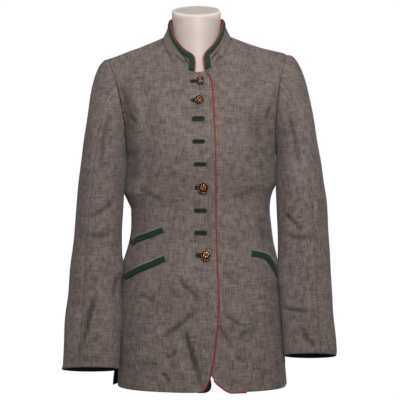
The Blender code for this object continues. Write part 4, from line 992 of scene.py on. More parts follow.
def linen_material():
    """Taupe linen: uneven threads run up and across, over a fine weave."""
    material, tree, shader = pick_slot("linen_taupe", 0.88)
    uv = node(tree, "ShaderNodeTexCoord").outputs["UV"]
    total = 0.0
    for across, along, detail, turn, weight in THREAD_ROWS:
        source = streaks(tree, uv, across, along, detail, turn)
        total = math_node(tree, "ADD", math_node(tree, "MULTIPLY", source, weight), total)
    for across, along, detail, turn, gain in SLUB_ROWS:
        source = streaks(tree, uv, across, along, detail, turn)
        over_line = math_node(tree, "SUBTRACT", source, SLUB_START)
        over_line = math_node(tree, "MAXIMUM", over_line, 0.0)
        total = math_node(tree, "ADD", math_node(tree, "MULTIPLY", over_line, gain), total)
    level = stretch(tree, total, *THREAD_RANGE)
    threads = ramp(tree, level, (0.0, LINEN_DARK), (1.0, LINEN_LIGHT))
    warmth = streaks(tree, uv, 0.034, 0.050, 2.0, 21.0)
    hue = ramp(tree, warmth, (0.38, LINEN_PURPLE), (0.62, LINEN_TAN))
    tint = blend(tree, 1.0, threads, hue, "MULTIPLY")
    # Painted shade darkens the creases and ridges get a painted highlight, from each point's shade
    # value.
    keep = math_node(tree, "SUBTRACT", 1.0, attribute(tree, "shade"))
    sockets = {0: tint, "Scale": keep}
    tint_with_painted_shade = node(tree, "ShaderNodeVectorMath", sockets, operation="SCALE").outputs[0]
    finish_shader(
        tree, shader, tint_with_painted_shade, total, 0.35, 0.0006,
        Sheen_Weight=0.12, Sheen_Roughness=0.5, Specular_IOR_Level=0.25,
    )
    return material


def felt_material(name, dark, light, scale, rough=0.95, sheen=0.1):
    """Short matted fibres: two noises in the object's own coordinates."""
    material, tree, shader = pick_slot(name, rough)
    place = node(tree, "ShaderNodeTexCoord").outputs["Object"]
    coarse = noise(tree, place, scale, 4.0, 0.7)
    fine = noise(tree, place, scale * 4, 2.0, 0.6)
    half = math_node(tree, "MULTIPLY", math_node(tree, "ADD", coarse, fine), 0.5)
    colour = ramp(tree, half, (0.38, dark), (0.62, light))
    finish_shader(
        tree, shader, colour, half, 0.5, 0.0004, Sheen_Weight=sheen, Specular_IOR_Level=0.2
    )
    return material


def brass_material():
    """Old gilt metal: bright on the relief, dark and reddish in the hollows."""
    material, tree, shader = pick_slot("button_gilt", 0.32)
    place = node(tree, "ShaderNodeTexCoord").outputs["Object"]
    stain = noise(tree, place, 420.0, 3.0, 0.6)
    worn = math_node(tree, "MULTIPLY", math_node(tree, "SUBTRACT", stain, 0.5), 0.5)
    level = math_node(tree, "ADD", attribute(tree, "relief"), worn)
    metal = ramp(tree, level, (0.15, GILT_DARK), (0.95, GILT_LIGHT), (0.50, GILT_MIDDLE))
    paint = blend(tree, attribute(tree, "glaze"), metal, (*GLAZE_RED, 1))
    finish_shader(tree, shader, paint, stain, 0.3, 0.0003, Metallic=0.9)
    return material


def form_material():
    """Cream moulded shell with a gloss, a cap painted paler as painted light on its top, and a pale foot
    at the front that glows as painted light.
    """
    material, tree, shader = pick_slot("form_cream", 0.50)
    place = node(tree, "ShaderNodeTexCoord").outputs["Object"]
    cloud = noise(tree, place, 9.0, 3.0, 0.5)
    cream = ramp(tree, cloud, (0.3, CREAM_DARK), (0.7, CREAM_LIGHT))
    parts = node(tree, "ShaderNodeSeparateXYZ", {0: place}).outputs
    # The top of the cap is painted paler: painted light, as if lit more from above.
    cap = stretch(tree, parts["Z"], FORM_NECK_FRONT - 0.006, FORM_NECK_FRONT + 0.004)
    cream = blend(tree, cap, cream, (*CAP_PAINTED_LIGHT, 1))
    # The foot at the front is pale, and it glows though it is no lamp: painted light where the jacket
    # shades it.
    foot = stretch(tree, parts["Z"], *FOOT_RANGE)
    foot = math_node(tree, "MULTIPLY", foot, math_node(tree, "LESS_THAN", parts["Y"], FOOT_AHEAD))
    paint = blend(tree, foot, cream, (*FOOT_PALE, 1))
    # Painted light: the pale foot glows.
    shader.inputs["Emission Color"].default_value = (1, 1, 1, 1)
    foot_painted_glow = math_node(tree, "MULTIPLY", foot, FOOT_PAINTED_GLOW)
    tree.links.new(foot_painted_glow, shader.inputs["Emission Strength"])
    grain = noise(tree, place, 60.0, 2.0, 0.5)
    finish_shader(
        tree, shader, paint, grain, 0.05, 0.001, Coat_Weight=0.12, Coat_Roughness=0.35
    )
    return material


# Threads and patches of the linen: size across and along in metres, detail, place in the
# pattern and weight.
THREAD_ROWS = (
    (0.0020, 0.024, 2.0, 0.0, 0.52),
    (0.028, 0.0018, 2.0, 3.1, 0.48),
    (0.0008, 0.0060, 1.0, 5.2, 0.18),
    (0.0060, 0.0008, 1.0, 9.4, 0.18),
    (0.012, 0.015, 3.0, 6.2, 0.52),
    (0.055, 0.065, 3.0, 7.3, 0.22),
)
# Thick threads, dark ones up the cloth and light ones across it.
SLUB_ROWS = (
    (0.0030, 0.020, 1.0, 12.7, -1.3),
    (0.026, 0.0024, 1.0, 15.1, 1.1),
)
SLUB_START = 0.60
THREAD_RANGE = (0.82, 1.28)
LINEN_DARK = (0.097, 0.078, 0.072)
LINEN_LIGHT = (0.235, 0.195, 0.178)
LINEN_PURPLE = (0.98, 0.94, 0.965)
LINEN_TAN = (1.0, 0.965, 0.935)
GILT_DARK = (0.020, 0.010, 0.007)
GILT_MIDDLE = (0.16, 0.075, 0.035)
GILT_LIGHT = (0.50, 0.36, 0.17)
GLAZE_RED = (0.42, 0.10, 0.085)
CREAM_DARK = (0.585, 0.495, 0.445)
CREAM_LIGHT = (0.67, 0.570, 0.512)
# Colour of the neck's cap, painted paler as painted light.
CAP_PAINTED_LIGHT = (0.93, 0.83, 0.77)
# The pale front of the foot, its heights and reach, and how much it glows as painted light.
FOOT_PALE = (0.92, 0.92, 0.91)
FOOT_RANGE = (0.24, 0.20)
FOOT_AHEAD = -0.05
FOOT_PAINTED_GLOW = 0.85

LINEN = linen_material()
LINING = felt_material("lining_black", (0.006, 0.006, 0.007), (0.014, 0.013, 0.014), 700.0, 0.6, 0.0)
GREEN = felt_material("felt_green", (0.010, 0.030, 0.015), (0.026, 0.060, 0.031), 900.0)
WELT_GREEN = felt_material("felt_welt_green", (0.008, 0.023, 0.013), (0.019, 0.046, 0.025), 900.0)
DEEP_GREEN = felt_material("felt_deep_green", (0.010, 0.020, 0.013), (0.026, 0.044, 0.029), 900.0)
RED = felt_material("piping_red", (0.19, 0.015, 0.013), (0.39, 0.038, 0.031), 800.0, 0.7)
GREY = felt_material("lip_grey", (0.14, 0.133, 0.122), (0.27, 0.256, 0.238), 900.0)
SLIT = felt_material("slit_dark", (0.004, 0.008, 0.005), (0.010, 0.016, 0.011), 900.0)
BRASS = brass_material()
CREAM = form_material()


def build(name, points, faces, materials, uv=None, indices=None):
    """A smooth-shaded mesh from arrays of points and four-sided faces."""
    mesh = bpy.data.meshes.new(name)
    mesh.vertices.add(len(points))
    mesh.vertices.foreach_set("co", np.asarray(points, np.float32).ravel())
    mesh.loops.add(faces.size)
    mesh.loops.foreach_set("vertex_index", faces.ravel().astype(np.int32))
    mesh.polygons.add(len(faces))
    starts = np.arange(0, faces.size, faces.shape[1], dtype=np.int32)
    mesh.polygons.foreach_set("loop_start", starts)
    mesh.update(calc_edges=True)
    if uv is not None:
        layer = mesh.uv_layers.new(name="cloth")
        layer.data.foreach_set("uv", np.asarray(uv, np.float32)[faces.ravel()].ravel())
    for material in materials:
        mesh.materials.append(material)
    if indices is not None:
        mesh.polygons.foreach_set("material_index", indices.astype(np.int32))
    mesh.shade_smooth()
    mesh.validate()
    thing = bpy.data.objects.new(name, mesh)
    bpy.context.scene.collection.objects.link(thing)
    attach(thing, "root")
    return thing


def quads(rows, columns, wrap=False):
    """The faces of a grid whose rows go up and whose columns go to the right."""
    spans = columns if wrap else columns - 1
    j, i = np.meshgrid(np.arange(rows - 1) * columns, np.arange(spans), indexing="ij")
    k = (i + 1) % columns
    return np.stack([j + i, j + k, j + columns + k, j + columns + i], -1).reshape(-1, 4)


def shell(name, outer, away, wall, uv, materials, flip=False):
    """A closed thin wall: its outer face, its inner face and its rim."""
    rows, columns = outer.shape[:2]
    count = rows * columns
    inner = outer - away * wall
    face = quads(rows, columns)
    rim = np.concatenate([
        np.arange(rows - 1, 0, -1) * columns,
        np.arange(columns - 1),
        np.arange(rows - 1) * columns + columns - 1,
        (rows - 1) * columns + np.arange(columns - 1, 0, -1),
    ])
    after = np.roll(rim, -1)
    edge = np.stack([after, rim, rim + count, after + count], -1)
    faces = np.concatenate([face, face[:, ::-1] + count, edge])
    if flip:
        faces = faces[:, ::-1]
    points = np.concatenate([outer.reshape(-1, 3), inner.reshape(-1, 3)])
    both = np.concatenate([uv.reshape(-1, 2), uv.reshape(-1, 2)])
    indices = np.concatenate([np.zeros(len(face)), np.ones(len(face)), np.zeros(len(edge))])
    return build(name, points, faces, materials, both, indices)


def keep_value(piece, name, values):
    """Keeps a value at each point of a mesh, for its material."""
    layer = piece.data.attributes.new(name, "FLOAT", "POINT")
    layer.data.foreach_set("value", values.ravel().astype(np.float32))


def shaded(piece, shade):
    """Keeps the painted shade of the folds on a shell's outer face."""
    keep_value(piece, "shade", np.clip(np.stack([shade, 0 * shade]), -0.3, 0.7))
    return piece


def creased(outer, away, place, calm, side, shift=0):
    """A panel's outer face with its creases, and the painted shade in them."""
    rise, shade = crease_rise(place[..., 0], place[..., 2], side)
    rise = rise + ripple_rise(place[..., 0] + shift, place[..., 2])
    rise = rise * calm + seam_sink(edge_distance(outer))
    return outer + away * rise[..., None], shade


def panel(name, outer, away, uv, shade, flip=False):
    """A shell from grids whose rows go across the panel and whose columns go up."""
    outer, away, uv = (grid.transpose(1, 0, 2) for grid in (outer, away, uv))
    return shaded(shell(name, outer, away, WALL, uv, [LINEN, LINING], flip), shade.T)


def edge_distance(points, sides="lrtb"):
    """How far each point of a grid is from the grid's edges, along the cloth."""
    over = np.linalg.norm(np.diff(points, axis=1), axis=-1)
    run = np.concatenate([np.zeros((len(points), 1)), np.cumsum(over, axis=1)], axis=1)
    up = np.linalg.norm(np.diff(points, axis=0), axis=-1)
    rise = np.concatenate([np.zeros((1, points.shape[1])), np.cumsum(up, axis=0)], axis=0)
    far = np.full(run.shape, 9.0)
    for side, value in (("l", run), ("r", run[:, -1:] - run), ("b", rise), ("t", rise[-1:] - rise)):
        if side in sides:
            far = np.minimum(far, value)
    return far


def seam_sink(far):
    """The cloth dips a little where it is sewn."""
    return -EDGE_SINK * np.clip(1 - far / EDGE_WIDTH, 0, 1) ** 2


def spread(knots, step):
    """Values through the knots, at most a step apart, the knots among them."""
    parts = [np.array([knots[0]])]
    for a, b in zip(knots[:-1], knots[1:]):
        count = max(1, int(math.ceil((b - a) / step)))
        parts.append(np.linspace(a, b, count + 1)[1:])
    return np.concatenate(parts)


HEM_HEIGHTS = np.linspace(HEM, HEM + 0.012, 17)
LEVEL_HEIGHTS = np.concatenate([HEM_HEIGHTS, spread(ROW_HEIGHTS, FINE_STEP)])
FINE_LEVELS = (np.unique(np.round(LEVEL_HEIGHTS, 5)) - HEM) / (ARMPIT - HEM)


def levels_up_to(top):
    """The levels of a panel's rows, for each column up to its own top."""
    upper = 1 + (top - 1) * np.linspace(0, 1, FINE_UPPER + 1)[1:]
    lower = np.broadcast_to(FINE_LEVELS, (len(top), len(FINE_LEVELS)))
    return np.concatenate([lower, upper], axis=1)


def front_shell(name, sign, edge, lift_of):
    """One front with its creases."""
    neck_s = neck_point_s(sign)
    edge_v, edge_s = edge_curve(edge)
    side = np.linspace(0, 1, FRONT_SIDE_STEPS)
    middle = np.linspace(0, 1, FRONT_MIDDLE_STEPS)[1:]

    def s_at(v):
        outer = sign * (1 - side_inset(v[:len(side)]))
        inner = np.interp(v[len(side):], edge_v, edge_s)
        return np.concatenate([
            outer + (neck_s - outer) * side[:, None],
            neck_s + (inner - neck_s) * middle[:, None],
        ])

    low = np.full((len(side) + len(middle), 1), NECKLINE_FROM)
    high = np.full_like(low, 2.0)
    high = halve(low, high, lambda v: neck_level(s_at(v), v, True) > 1, 30)[1]
    v = levels_up_to(high - SHOULDER_GAP)
    s = s_at(v)
    base = smooth_cloth(s, v)
    lift = lift_of(base[..., 0])
    away = normals(s, v, True)
    outer = cloth(s, v, True, lift)
    calm = ease(edge_distance(outer, "tb") / CALM_WIDTH)
    calm = calm * ease(edge_distance(outer, "lr") / CALM_SIDE_WIDTH)
    outer, shade = creased(outer, away, base, calm, "front")
    uv = base[..., ::2]
    if sign > 0:
        outer, away, uv, shade = outer[::-1], away[::-1], uv[::-1], shade[::-1]
    return panel(name, outer, away, uv, shade)


def back_shell():
    """The back with its creases."""
    left_neck, right_neck = neck_point_s(-1), neck_point_s(1)
    share = np.concatenate([
        np.linspace(-1, left_neck, BACK_SIDE_STEPS),
        np.linspace(left_neck, right_neck, BACK_MIDDLE_STEPS)[1:-1],
        np.linspace(right_neck, 1, BACK_SIDE_STEPS),
    ])
    v = levels_up_to((neckline_v(share, False) - SHOULDER_GAP)[:, None])
    side = np.clip((np.abs(share) - 0.6) / 0.4, 0, 1)[:, None]
    s = share[:, None] - np.sign(share[:, None]) * SEAM_GAP / BACK_HALF_LENGTH * side + 0 * v
    base = smooth_cloth(s, v, False)
    outer = cloth(s, v, False)
    z = HEM + (ARMPIT - HEM) * v
    flare = FLARE * ease((FLARE_TOP - z) / FLARE_TOP) * side**2
    outer[..., 0] += np.where(s < 0, -flare, FLARE_LEFT_SHARE * flare)
    away = normals(s, v, False)
    calm = ease(edge_distance(outer) / CALM_WIDTH)
    outer, shade = creased(outer, away, base, calm, "back", 1)
    uv = np.stack([base[..., 0] + BACK_THREADS, base[..., 2]], -1)
    return panel("back_cloth", outer, away, uv, shade, flip=True)


def sleeve_shell(name, side, start, end):
    """A stretch of a sleeve with its creases."""
    count = end - start
    f = np.linspace(0, 1, count * SLEEVE_FINER + 1)
    start = start * 2 * math.pi / SLEEVE_STEPS
    end = end * 2 * math.pi / SLEEVE_STEPS
    tube = np.linspace(0, 1, SLEEVE_TUBE_STEPS)
    w = np.concatenate([tube, np.linspace(1, 2, SLEEVE_CAP_STEPS)[1:]])
    w, f = np.meshgrid(w, f, indexing="ij")
    gap = SLEEVE_SEAM_GAP / (0.06 + 0.02 * w)
    turn = start + gap + (end - start - 2 * gap) * f
    angle = turn % (2 * math.pi)
    outer = sleeve(angle, w, side)
    away = sleeve_normals(angle, w, side)
    far = edge_distance(outer)
    calm = ease(far / CALM_SLEEVE_WIDTH)
    x, z = outer[..., 0], outer[..., 2]
    ahead = ease(np.sin(angle) / 0.4 + 0.2)
    front_rise, front_shade = crease_rise(x, z, "sleeve_front")
    back_rise, back_shade = crease_rise(x, z, "sleeve_back")
    more = front_rise * ahead + back_rise * (1 - ahead)
    more = more + ripple_rise(x + 3 * (side == "left"), z)
    outer = outer + away * (more * calm + seam_sink(far))[..., None]
    steps = np.linalg.norm(np.diff(outer, axis=0), axis=-1)
    length = np.concatenate([np.zeros((1, steps.shape[1])), np.cumsum(steps, axis=0)])
    uv = np.stack([turn * SLEEVE_RADIUS + SLEEVE_THREADS[side], length], -1)
    piece = shell(name, outer, away, WALL, uv, [LINEN, LINING], flip=side == "left")
    return shaded(piece, front_shade * ahead + back_shade * (1 - ahead))


def strip_shell(name, line, half, wall, material, shift=0.0, columns=40, rows=7):
    """A soft raised band laid on the front along a line."""
    steps = np.hypot(np.diff(line["x"]), np.diff(line["height"]))
    run = np.concatenate([[0], np.cumsum(steps)])
    at = np.linspace(0, run[-1], columns)
    x = smooth(at, run, line["x"])
    z = smooth(at, run, line["height"])
    along = unit(np.stack([np.gradient(x), np.gradient(z)], axis=-1))
    across = np.stack([-along[:, 1], along[:, 0]], axis=-1)
    across = across * np.where(across[:, 1:] < 0, -1, 1)
    place = np.linspace(-1, 1, rows)
    offset = place * half + shift
    grid_x = x + across[:, 0] * offset[:, None]
    grid_z = z + across[:, 1] * offset[:, None]
    s, v = front_place(grid_x, grid_z)
    near_end = np.minimum(at, run[-1] - at) / half
    crown_of = np.sqrt(np.clip(1 - place**4, 0, 1))[:, None] * np.sqrt(np.clip(near_end / 0.5, 0, 1))
    base = smooth_cloth(s, v)
    more = crease_rise(base[..., 0], base[..., 2], "front")[0]
    more = more + ripple_rise(base[..., 0], base[..., 2])
    away = normals(s, v, True)
    outer = cloth(s, v, True, TRIM_GAP + wall * (0.35 + 0.65 * crown_of))
    outer = outer + away * (more * TRIM_SHARE)[..., None]
    uv = np.stack([at + 0 * grid_x, offset[:, None] + 0 * grid_x], -1)
    if x[-1] < x[0]:
        outer, away, uv = outer[:, ::-1], away[:, ::-1], uv[:, ::-1]
    return shell(name, outer, away, wall + TRIM_GAP * 0.6, uv, [material, material])


def collar_shells():
    """The stand collar, its green band and its red piping."""
    outline = collar_outline(0.0)
    bottom = outline * [1, 0]
    share = np.linspace(0, 1, 25)[:, None, None]
    grid = (bottom + (outline - bottom) * share)[:, 2:-2]
    outer = collar(grid[..., 0], grid[..., 1])
    away = collar_out(grid[..., 0], grid[..., 1])
    uv = np.stack([grid[..., 0] * COLLAR_LENGTH + COLLAR_THREADS, grid[..., 1]], -1)
    more, shade = crease_rise(outer[..., 0], outer[..., 2], "collar")
    ahead = ease(-outer[..., 1] / 0.03)
    outer = outer + away * (more * ahead * ease(grid[..., 1] / 0.004))[..., None]
    cloth_piece = shell("collar_cloth", outer, away, COLLAR_WALL, uv, [LINEN, LINEN], flip=True)
    # Painted shade in the collar's puckers, made stronger.
    shaded(cloth_piece, shade * ahead * 1.8)

    edge = collar_outline(TRIM_GAP)
    inner = collar_outline(BAND_WIDTH)
    share = np.linspace(0, 1, 9)
    grid = (edge + (inner - edge) * share[:, None, None])[::-1]
    grid[..., 1] = np.maximum(grid[..., 1], BAND_FOOT)
    crown_of = np.sqrt(np.clip(1 - (2 * share - 1) ** 6, 0, 1))[::-1, None]
    lift = BAND_GAP + BAND_WALL * (0.3 + 0.9 * crown_of)
    outer = collar(grid[..., 0], grid[..., 1], lift + 0 * grid[..., 0])
    away = collar_out(grid[..., 0], grid[..., 1])
    uv = np.stack([grid[..., 0] * COLLAR_LENGTH, grid[..., 1]], -1)
    band = shell("collar_band_felt", outer, away, BAND_WALL, uv, [GREEN, GREEN], flip=True)

    outline[:, 1] = np.maximum(outline[:, 1], PIPING_RADIUS)
    path = collar(outline[:, 0], outline[:, 1])
    away = collar_out(outline[:, 0], outline[:, 1])
    path = beside(path, away, 1) - away * COLLAR_WALL / 2
    return cloth_piece, band, cord_piece("collar_piping_cord", path)


def cord_piece(name, path, sides=12):
    """A round piping along a path, with a slight twist of its cloth."""
    radius = PIPING_RADIUS
    tangent = unit(np.gradient(path, axis=0))
    side = unit(np.cross(tangent, [0.3, -0.9, 0.2]))
    other = np.cross(tangent, side)
    turns = np.linspace(0, 2 * math.pi, sides, endpoint=False)
    run = np.concatenate([[0], np.cumsum(np.linalg.norm(np.diff(path, axis=0), axis=-1))])
    ends = np.sqrt(np.clip(np.minimum(run, run[-1] - run) / radius, 0.05, 1))
    twist = 1 + TWIST_RISE * np.sin(run[:, None] / TWIST_LENGTH + turns[None])
    size = radius * twist * ends[:, None]
    around = side[:, None] * np.cos(turns)[:, None] + other[:, None] * np.sin(turns)[:, None]
    points = path[:, None] + around * size[..., None]
    faces = quads(len(path), sides, wrap=True)
    uv = np.stack([run[:, None] + 0 * turns[None], turns[None] * radius + 0 * run[:, None]], -1)
    return build(name, points.reshape(-1, 3), faces, [RED], uv.reshape(-1, 2))


def edge_between(edge, low_z, high_z):
    """The levels and the s of a front's edge between two heights."""
    v, s = edge_curve(edge, 6)
    z = smooth_cloth(s, v)[..., 2]
    use = (z >= low_z) & (z <= high_z)
    return v[use], s[use]


def front_piping(name, edge, high_z, lift_of, sign, hem_end=None):
    """The red piping just outside a front's edge, and under its hem as far as hem_end."""
    v, s = edge_between(edge, PIPING_START, high_z)
    if hem_end is not None:
        along = np.linspace(hem_end, edge["x"][0], 24)
        s = np.concatenate([s_of_x(along, 0 * along), s])
        v = np.concatenate([0 * along, v])
    p = smooth_cloth(s, v)
    path = cloth(s, v, True, lift_of(p[..., 0]) - PIPING_SINK)
    return cord_piece(name, beside(path, normals(s, v, True), sign))


def turned_tip(name):
    """The dark underside of the right front's lower tip, which curls out past its edge."""
    v, s = edge_between(RIGHT_EDGE, HEM, TIP_TOP)
    p = smooth_cloth(s, v)
    rise = (p[..., 2] - HEM) / (TIP_TOP - HEM)
    width = TIP_WIDTH * np.sin(math.pi * np.clip(rise, 0, 1) ** 0.6) ** 0.8 + 0.0004
    across = np.linspace(0, 1, 9)
    base = cloth(s, v, True, overlap_lift(p[..., 0]) - TIP_DEPTH)
    away = normals(s, v, True)
    rows = []
    for share in across:
        step = np.stack([width * share, 0 * width, -0.45 * width * share], -1)
        rows.append(base + step - away * TIP_CURL * share**2)
    outer = np.stack(rows, axis=1)
    uv = np.stack([np.broadcast_to(across * 0.01, outer.shape[:2]), outer[..., 2]], -1)
    away = np.broadcast_to(away[:, None], outer.shape)
    return shell(name, outer, away, TIP_WALL, uv, [LINING, LINING])


def buttonhole_piece(number, x, z, slim):
    """A bound buttonhole: two green lips about a dark slit."""
    half_x, half_z = BUTTONHOLE_HALF
    half_z = half_z * slim
    across = half_x * np.sin(np.linspace(-math.pi / 2, math.pi / 2, 31))
    place = np.linspace(-1, 1, 23)
    rows = place * half_z
    lips = np.sqrt(np.clip(1 - ((np.abs(place) - 0.56) / 0.46) ** 2, 0, 1))
    ends = np.sqrt(np.clip((half_x - np.abs(across)) / 0.002, 0.0, 1))
    past = np.clip((np.abs(across) - half_x + half_z) / half_z, 0, 1)
    grid_x, grid_z = np.meshgrid(x + across, rows)
    grid_z = z + grid_z * np.sqrt(1 - 0.85 * past**2)[None]
    s, v = front_place(grid_x, grid_z)
    rise = (0.15 + 0.85 * lips)[:, None] * BUTTONHOLE_LIP * (0.3 + 0.7 * ends)
    lift = SEAM_GAP + BUTTONHOLE_WALL + rise + overlap_lift(grid_x)
    outer = cloth(s, v, True, lift)
    away = normals(s, v, True)
    uv = np.stack([grid_x, grid_z], -1)
    materials = [DEEP_GREEN, DEEP_GREEN, SLIT]
    name = f"buttonhole_{number}_felt"
    piece = shell(name, outer, away, BUTTONHOLE_WALL * 1.6, uv, materials)
    centre = np.abs((place[:-1] + place[1:]) / 2) < 0.30
    inside = np.abs((across[:-1] + across[1:]) / 2) < half_x - 0.0035
    count = (len(place) - 1) * (len(across) - 1)
    index = np.zeros(len(piece.data.polygons), np.int32)
    index[:count] = np.where(centre[:, None] & inside[None], 2, 0).ravel()
    piece.data.polygons.foreach_set("material_index", index)
    return piece


def button_piece(name, x, z, radius):
    """A domed metal button with a flower of six petals inside a roped rim."""
    s, v = front_place(np.array(x), np.array(z))
    base = cloth(s, v, True, overlap_lift(np.array(x)) + BUTTONHOLE_LIP + BUTTONHOLE_WALL)
    away = normals(s, v, True)
    foot = SEAM_GAP * 2 + SHANK_LENGTH
    r = np.concatenate([np.linspace(0.0, 0.86, 34), np.linspace(0.88, 1.0, 8)])
    turns = np.linspace(0, 2 * math.pi, BUTTON_SIDES, endpoint=False)
    rr, tt = np.meshgrid(r, turns, indexing="ij")
    dome = BUTTON_HEIGHT * (0.36 + 0.20 * (1 - rr**2))
    lobe = np.abs(np.cos(PETALS / 2 * (tt + 0.25)))
    petal = np.clip(1 - ((rr - 0.44) / (0.06 + 0.20 * lobe)) ** 2, 0, 1)
    petal = petal * np.clip(lobe * 1.6, 0, 1)
    heart = np.clip(1 - (rr / 0.20) ** 2, 0, 1)
    rim = np.clip(1 - ((rr - 0.91) / 0.075) ** 2, 0, 1)
    rope = 0.18 * np.sin(ROPE_STRANDS * tt + 20 * rr) * rim
    relief = np.clip(0.85 * petal**0.7 + heart + rim + rope, 0, 1.1)
    glaze = petal**0.5 * (0.5 + 0.5 * np.cos(tt * 2 + radius * 400))
    rounding = 0.34 * np.clip((rr - 0.93) / 0.07, 0, 1) ** 2
    height = dome + BUTTON_HEIGHT * (0.20 * relief - rounding)
    rings = [np.stack([rr * radius, height + foot], -1)]
    levels = [relief]
    # The underside and the shank: radius, height and how bright the metal is.
    for reach, rise, bright in (
        (radius, foot + BUTTON_HEIGHT * 0.08, 0.6),
        (0.97 * radius, foot + BUTTON_HEIGHT * 0.03, 0.6),
        (0.80 * radius, foot, 0.6),
        (SHANK_RADIUS, foot, 0.5),
        (SHANK_RADIUS, SEAM_GAP * 2, 0.5),
        (0.01 * radius, SEAM_GAP * 2, 0.5),
    ):
        rings.append(np.broadcast_to([reach, rise], (1, len(turns), 2)))
        levels.append(np.full((1, len(turns)), bright))
    profile = np.concatenate(rings)
    level = np.concatenate(levels)
    side = unit(np.cross(away, [0.0, 0.0, 1.0]))
    up = np.cross(side, away)
    around = np.cos(turns)[:, None] * side + np.sin(turns)[:, None] * up
    points = base + profile[..., 0:1] * around + profile[..., 1:2] * away
    faces = quads(len(profile), len(turns), wrap=True)[:, ::-1]
    piece = build(name, points.reshape(-1, 3), faces, [BRASS])
    keep_value(piece, "relief", level)
    glazed = np.zeros(level.shape)
    glazed[:len(glaze)] = glaze
    keep_value(piece, "glaze", glazed)
    return piece


def form_neck():
    """The dress form's neck with a slanted cap, over the torso of the frame."""
    turns = np.linspace(0, 2 * math.pi, NECK_SIDES, endpoint=False)
    heights, halves_x, halves_y = np.array(FORM_NECK_RINGS).T
    middle = (FORM_NECK_FRONT + FORM_NECK_BACK) / 2
    slope = (FORM_NECK_BACK - FORM_NECK_FRONT) / 2
    top_x, top_y = halves_x[-1], halves_y[-1]
    rings = []

    def add_ring(half_x, half_y, z):
        x = FORM_NECK_CENTRE[0] + half_x * np.cos(turns)
        y = FORM_NECK_CENTRE[1] + half_y * np.sin(turns)
        rings.append(np.stack([x, y, z + 0 * turns], -1))

    for z in np.linspace(heights[0], heights[-1], 30):
        add_ring(smooth(z, heights, halves_x), smooth(z, heights, halves_y), z)
    for k in range(1, 11):
        turn = k / 10 * math.pi / 2
        inset = NECK_ROUNDING * (1 - math.cos(turn))
        tilt = slope * np.sin(turns) * (top_y - inset) / top_y
        z = middle + tilt + NECK_ROUNDING * (math.sin(turn) - 1)
        add_ring(top_x - inset, top_y - inset, z)
    for share in (0.75, 0.4, 0.05):
        half_x, half_y = top_x - NECK_ROUNDING, top_y - NECK_ROUNDING
        z = middle + slope * np.sin(turns) * half_y / top_y * share
        add_ring(half_x * share, half_y * share, z)
    faces = quads(len(rings), NECK_SIDES, wrap=True)
    return build("form_neck", np.concatenate(rings), faces, [CREAM])


def no_lift(x):
    """The left front lies flat on the form."""
    return 0 * x


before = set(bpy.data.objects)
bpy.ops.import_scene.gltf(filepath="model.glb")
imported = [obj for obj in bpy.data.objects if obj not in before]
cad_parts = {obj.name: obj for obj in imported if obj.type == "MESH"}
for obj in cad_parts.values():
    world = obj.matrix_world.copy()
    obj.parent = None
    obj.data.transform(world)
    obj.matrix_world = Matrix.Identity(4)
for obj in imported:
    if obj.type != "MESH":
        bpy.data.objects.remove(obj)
size_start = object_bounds()

pieces = {}
pieces["front_right"] = front_shell("front_right_cloth", -1, RIGHT_EDGE, overlap_lift)
pieces["front_left"] = front_shell("front_left_cloth", 1, LEFT_EDGE, no_lift)
pieces["back"] = back_shell()
first, second = SLEEVE_SEAMS
for side in ("right", "left"):
    for part, start, end in (("under", first, second), ("upper", second, first + SLEEVE_STEPS)):
        name = f"sleeve_{side}_{part}"
        pieces[name] = sleeve_shell(f"{name}_cloth", side, start, end)
pieces["collar"], pieces["collar_band"], pieces["collar_piping"] = collar_shells()
pieces["piping_right"] = front_piping(
    "piping_right_cord", RIGHT_EDGE, RIGHT_PIPING_TOP, overlap_lift, 1
)
pieces["piping_left"] = front_piping(
    "piping_left_cord", LEFT_EDGE, LEFT_PIPING_TOP, no_lift, -1, HEM_PIPING_END
)
LIP_SHIFT = WELT_HALF + LIP_HALF + SEAM_GAP
for where, line in WELTS.items():
    name = f"welt_{where}"
    pieces[name] = strip_shell(f"{name}_felt", line, WELT_HALF, WELT_WALL, WELT_GREEN)
    name = f"welt_lip_{where}"
    pieces[name] = strip_shell(f"{name}_braid", line, LIP_HALF, LIP_WALL, GREY, LIP_SHIFT)
for number, (x, z, button_x, radius) in enumerate(zip(*BUTTONHOLES.values()), 1):
    slim = SLIM_SHARE if number in SLIM_BUTTONHOLES else 1.0
    pieces[f"buttonhole_{number}"] = buttonhole_piece(number, x, z, slim)
    if radius:
        pieces[f"button_{number}"] = button_piece(f"button_{number}_metal", button_x, z, radius)
for name, piece in pieces.items():
    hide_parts(name)
tip = turned_tip("front_right_turned_tip")
form_neck()
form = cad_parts["form"]
form.data.materials.clear()
form.data.materials.append(CREAM)

SHEETS = {
    "front_right": (0.270, 0.740, 0.158),
    "front_left": (0.270, 0.740, 0.150),
    "back": (0.460, 0.760, 0.290),
    "sleeve_right_upper": (0.190, 0.650, 0.095),
    "sleeve_right_under": (0.160, 0.560, 0.075),
    "sleeve_left_upper": (0.190, 0.620, 0.092),
    "sleeve_left_under": (0.160, 0.540, 0.072),
    "collar": (0.400, 0.045, 0.0165),
}
SEWN_ON = {
    "front_right": ["piping_right", "welt_upper_right", "welt_lower_right"]
    + ["welt_lip_upper_right", "welt_lip_lower_right"]
    + [f"buttonhole_{number}" for number in range(1, 10)],
    "front_left": ["piping_left", "welt_left", "welt_lip_left"]
    + [f"button_{number}" for number in (1, 2, 6, 9)],
    "collar": ["collar_band", "collar_piping"],
}
for name, (width, length, area) in SHEETS.items():
    sewn = [pieces[trim] for trim in SEWN_ON.get(name, [])]
    if name == "front_right":
        sewn.append(tip)


def area_light(name, place, aim, size, power):
    data = bpy.data.lights.new(name, "AREA")
    data.shape = "RECTANGLE"
    data.size, data.size_y = size
    data.energy = power
    lamp = bpy.data.objects.new(name, data)
    lamp.location = place
    way = np.array(aim, float) - np.array(place, float)
    lamp.rotation_euler = Vector(way).to_track_quat("-Z", "Y").to_euler()
    bpy.context.scene.collection.objects.link(lamp)


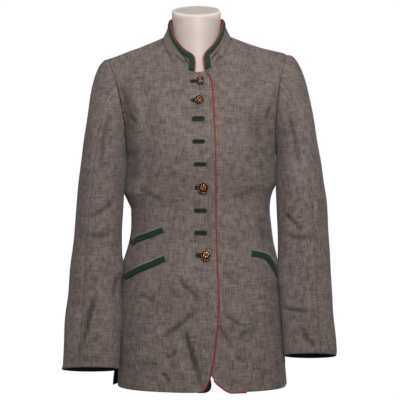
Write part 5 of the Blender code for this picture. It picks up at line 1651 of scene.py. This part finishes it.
LIGHT_ROWS = (
    ("key", (-0.25, -2.1, 2.1), (0, 0, 0.5), (0.9, 0.6), 12),
    ("fill", (0.35, -2.0, 1.25), (0, 0, 0.45), (0.9, 0.7), 27),
    ("top", (0, -0.4, 3.2), (0, 0, 0.6), (1.2, 1.0), 9),
    ("back", (0.5, 2.9, 1.7), (0, 0, 0.4), (1.6, 1.2), 26),
)
for row in LIGHT_ROWS:
    area_light(*row)

WHITE = (1, 1, 1, 1)
WORLD_LIGHT = 0.24
FLOOR_COLOUR = (0.30, 0.30, 0.30, 1)
FLOOR_SIZE = 12


def by_ray(tree, lit, seen, target):
    """Shows one shader to the camera while another one lights the scene."""
    rays = node(tree, "ShaderNodeLightPath").outputs["Is Camera Ray"]
    mix = node(tree, "ShaderNodeMixShader", {0: rays, 1: lit, 2: seen})
    tree.links.new(mix.outputs[0], target)


world = bpy.data.worlds.new("studio")
bpy.context.scene.world = world
world.use_nodes = True
tree = world.node_tree
tree.nodes.clear()
lit, seen = (
    node(tree, "ShaderNodeBackground", {"Color": WHITE, "Strength": power}).outputs[0]
    for power in (WORLD_LIGHT, 1.0)
)
by_ray(tree, lit, seen, node(tree, "ShaderNodeOutputWorld").inputs[0])

bpy.ops.mesh.primitive_plane_add(size=FLOOR_SIZE, location=(0, 2, 0))
floor = bpy.context.object
floor.name = "floor"
floor_material, tree, shader = pick_slot("floor_white", 0.9)
shader.inputs["Base Color"].default_value = FLOOR_COLOUR
seen = node(tree, "ShaderNodeEmission", {"Strength": 1.0}).outputs[0]
by_ray(tree, shader.outputs[0], seen, tree.nodes["Material Output"].inputs["Surface"])
floor.data.materials.append(floor_material)
floor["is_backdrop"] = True

CAMERA_LENS = 128.57
CAMERA_PLACE = (0, -3.0, 0.396)

camera_data = bpy.data.cameras.new("camera")
camera_data.lens = CAMERA_LENS
camera_data.sensor_width = 36
camera = bpy.data.objects.new("camera", camera_data)
camera.location = CAMERA_PLACE
camera.rotation_euler = (math.pi / 2, 0, 0)
bpy.context.scene.collection.objects.link(camera)
bpy.context.scene.camera = camera
bpy.context.scene.view_settings.view_transform = "Standard"

size_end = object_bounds()


def plain(value):
    if isinstance(value, dict):
        return {k: plain(v) for k, v in value.items()}
    if hasattr(value, "__len__") and not isinstance(value, str):
        return [plain(v) for v in value]
    return float(value) if not isinstance(value, str) else value


{"start": plain(size_start), "end": plain(size_end)}
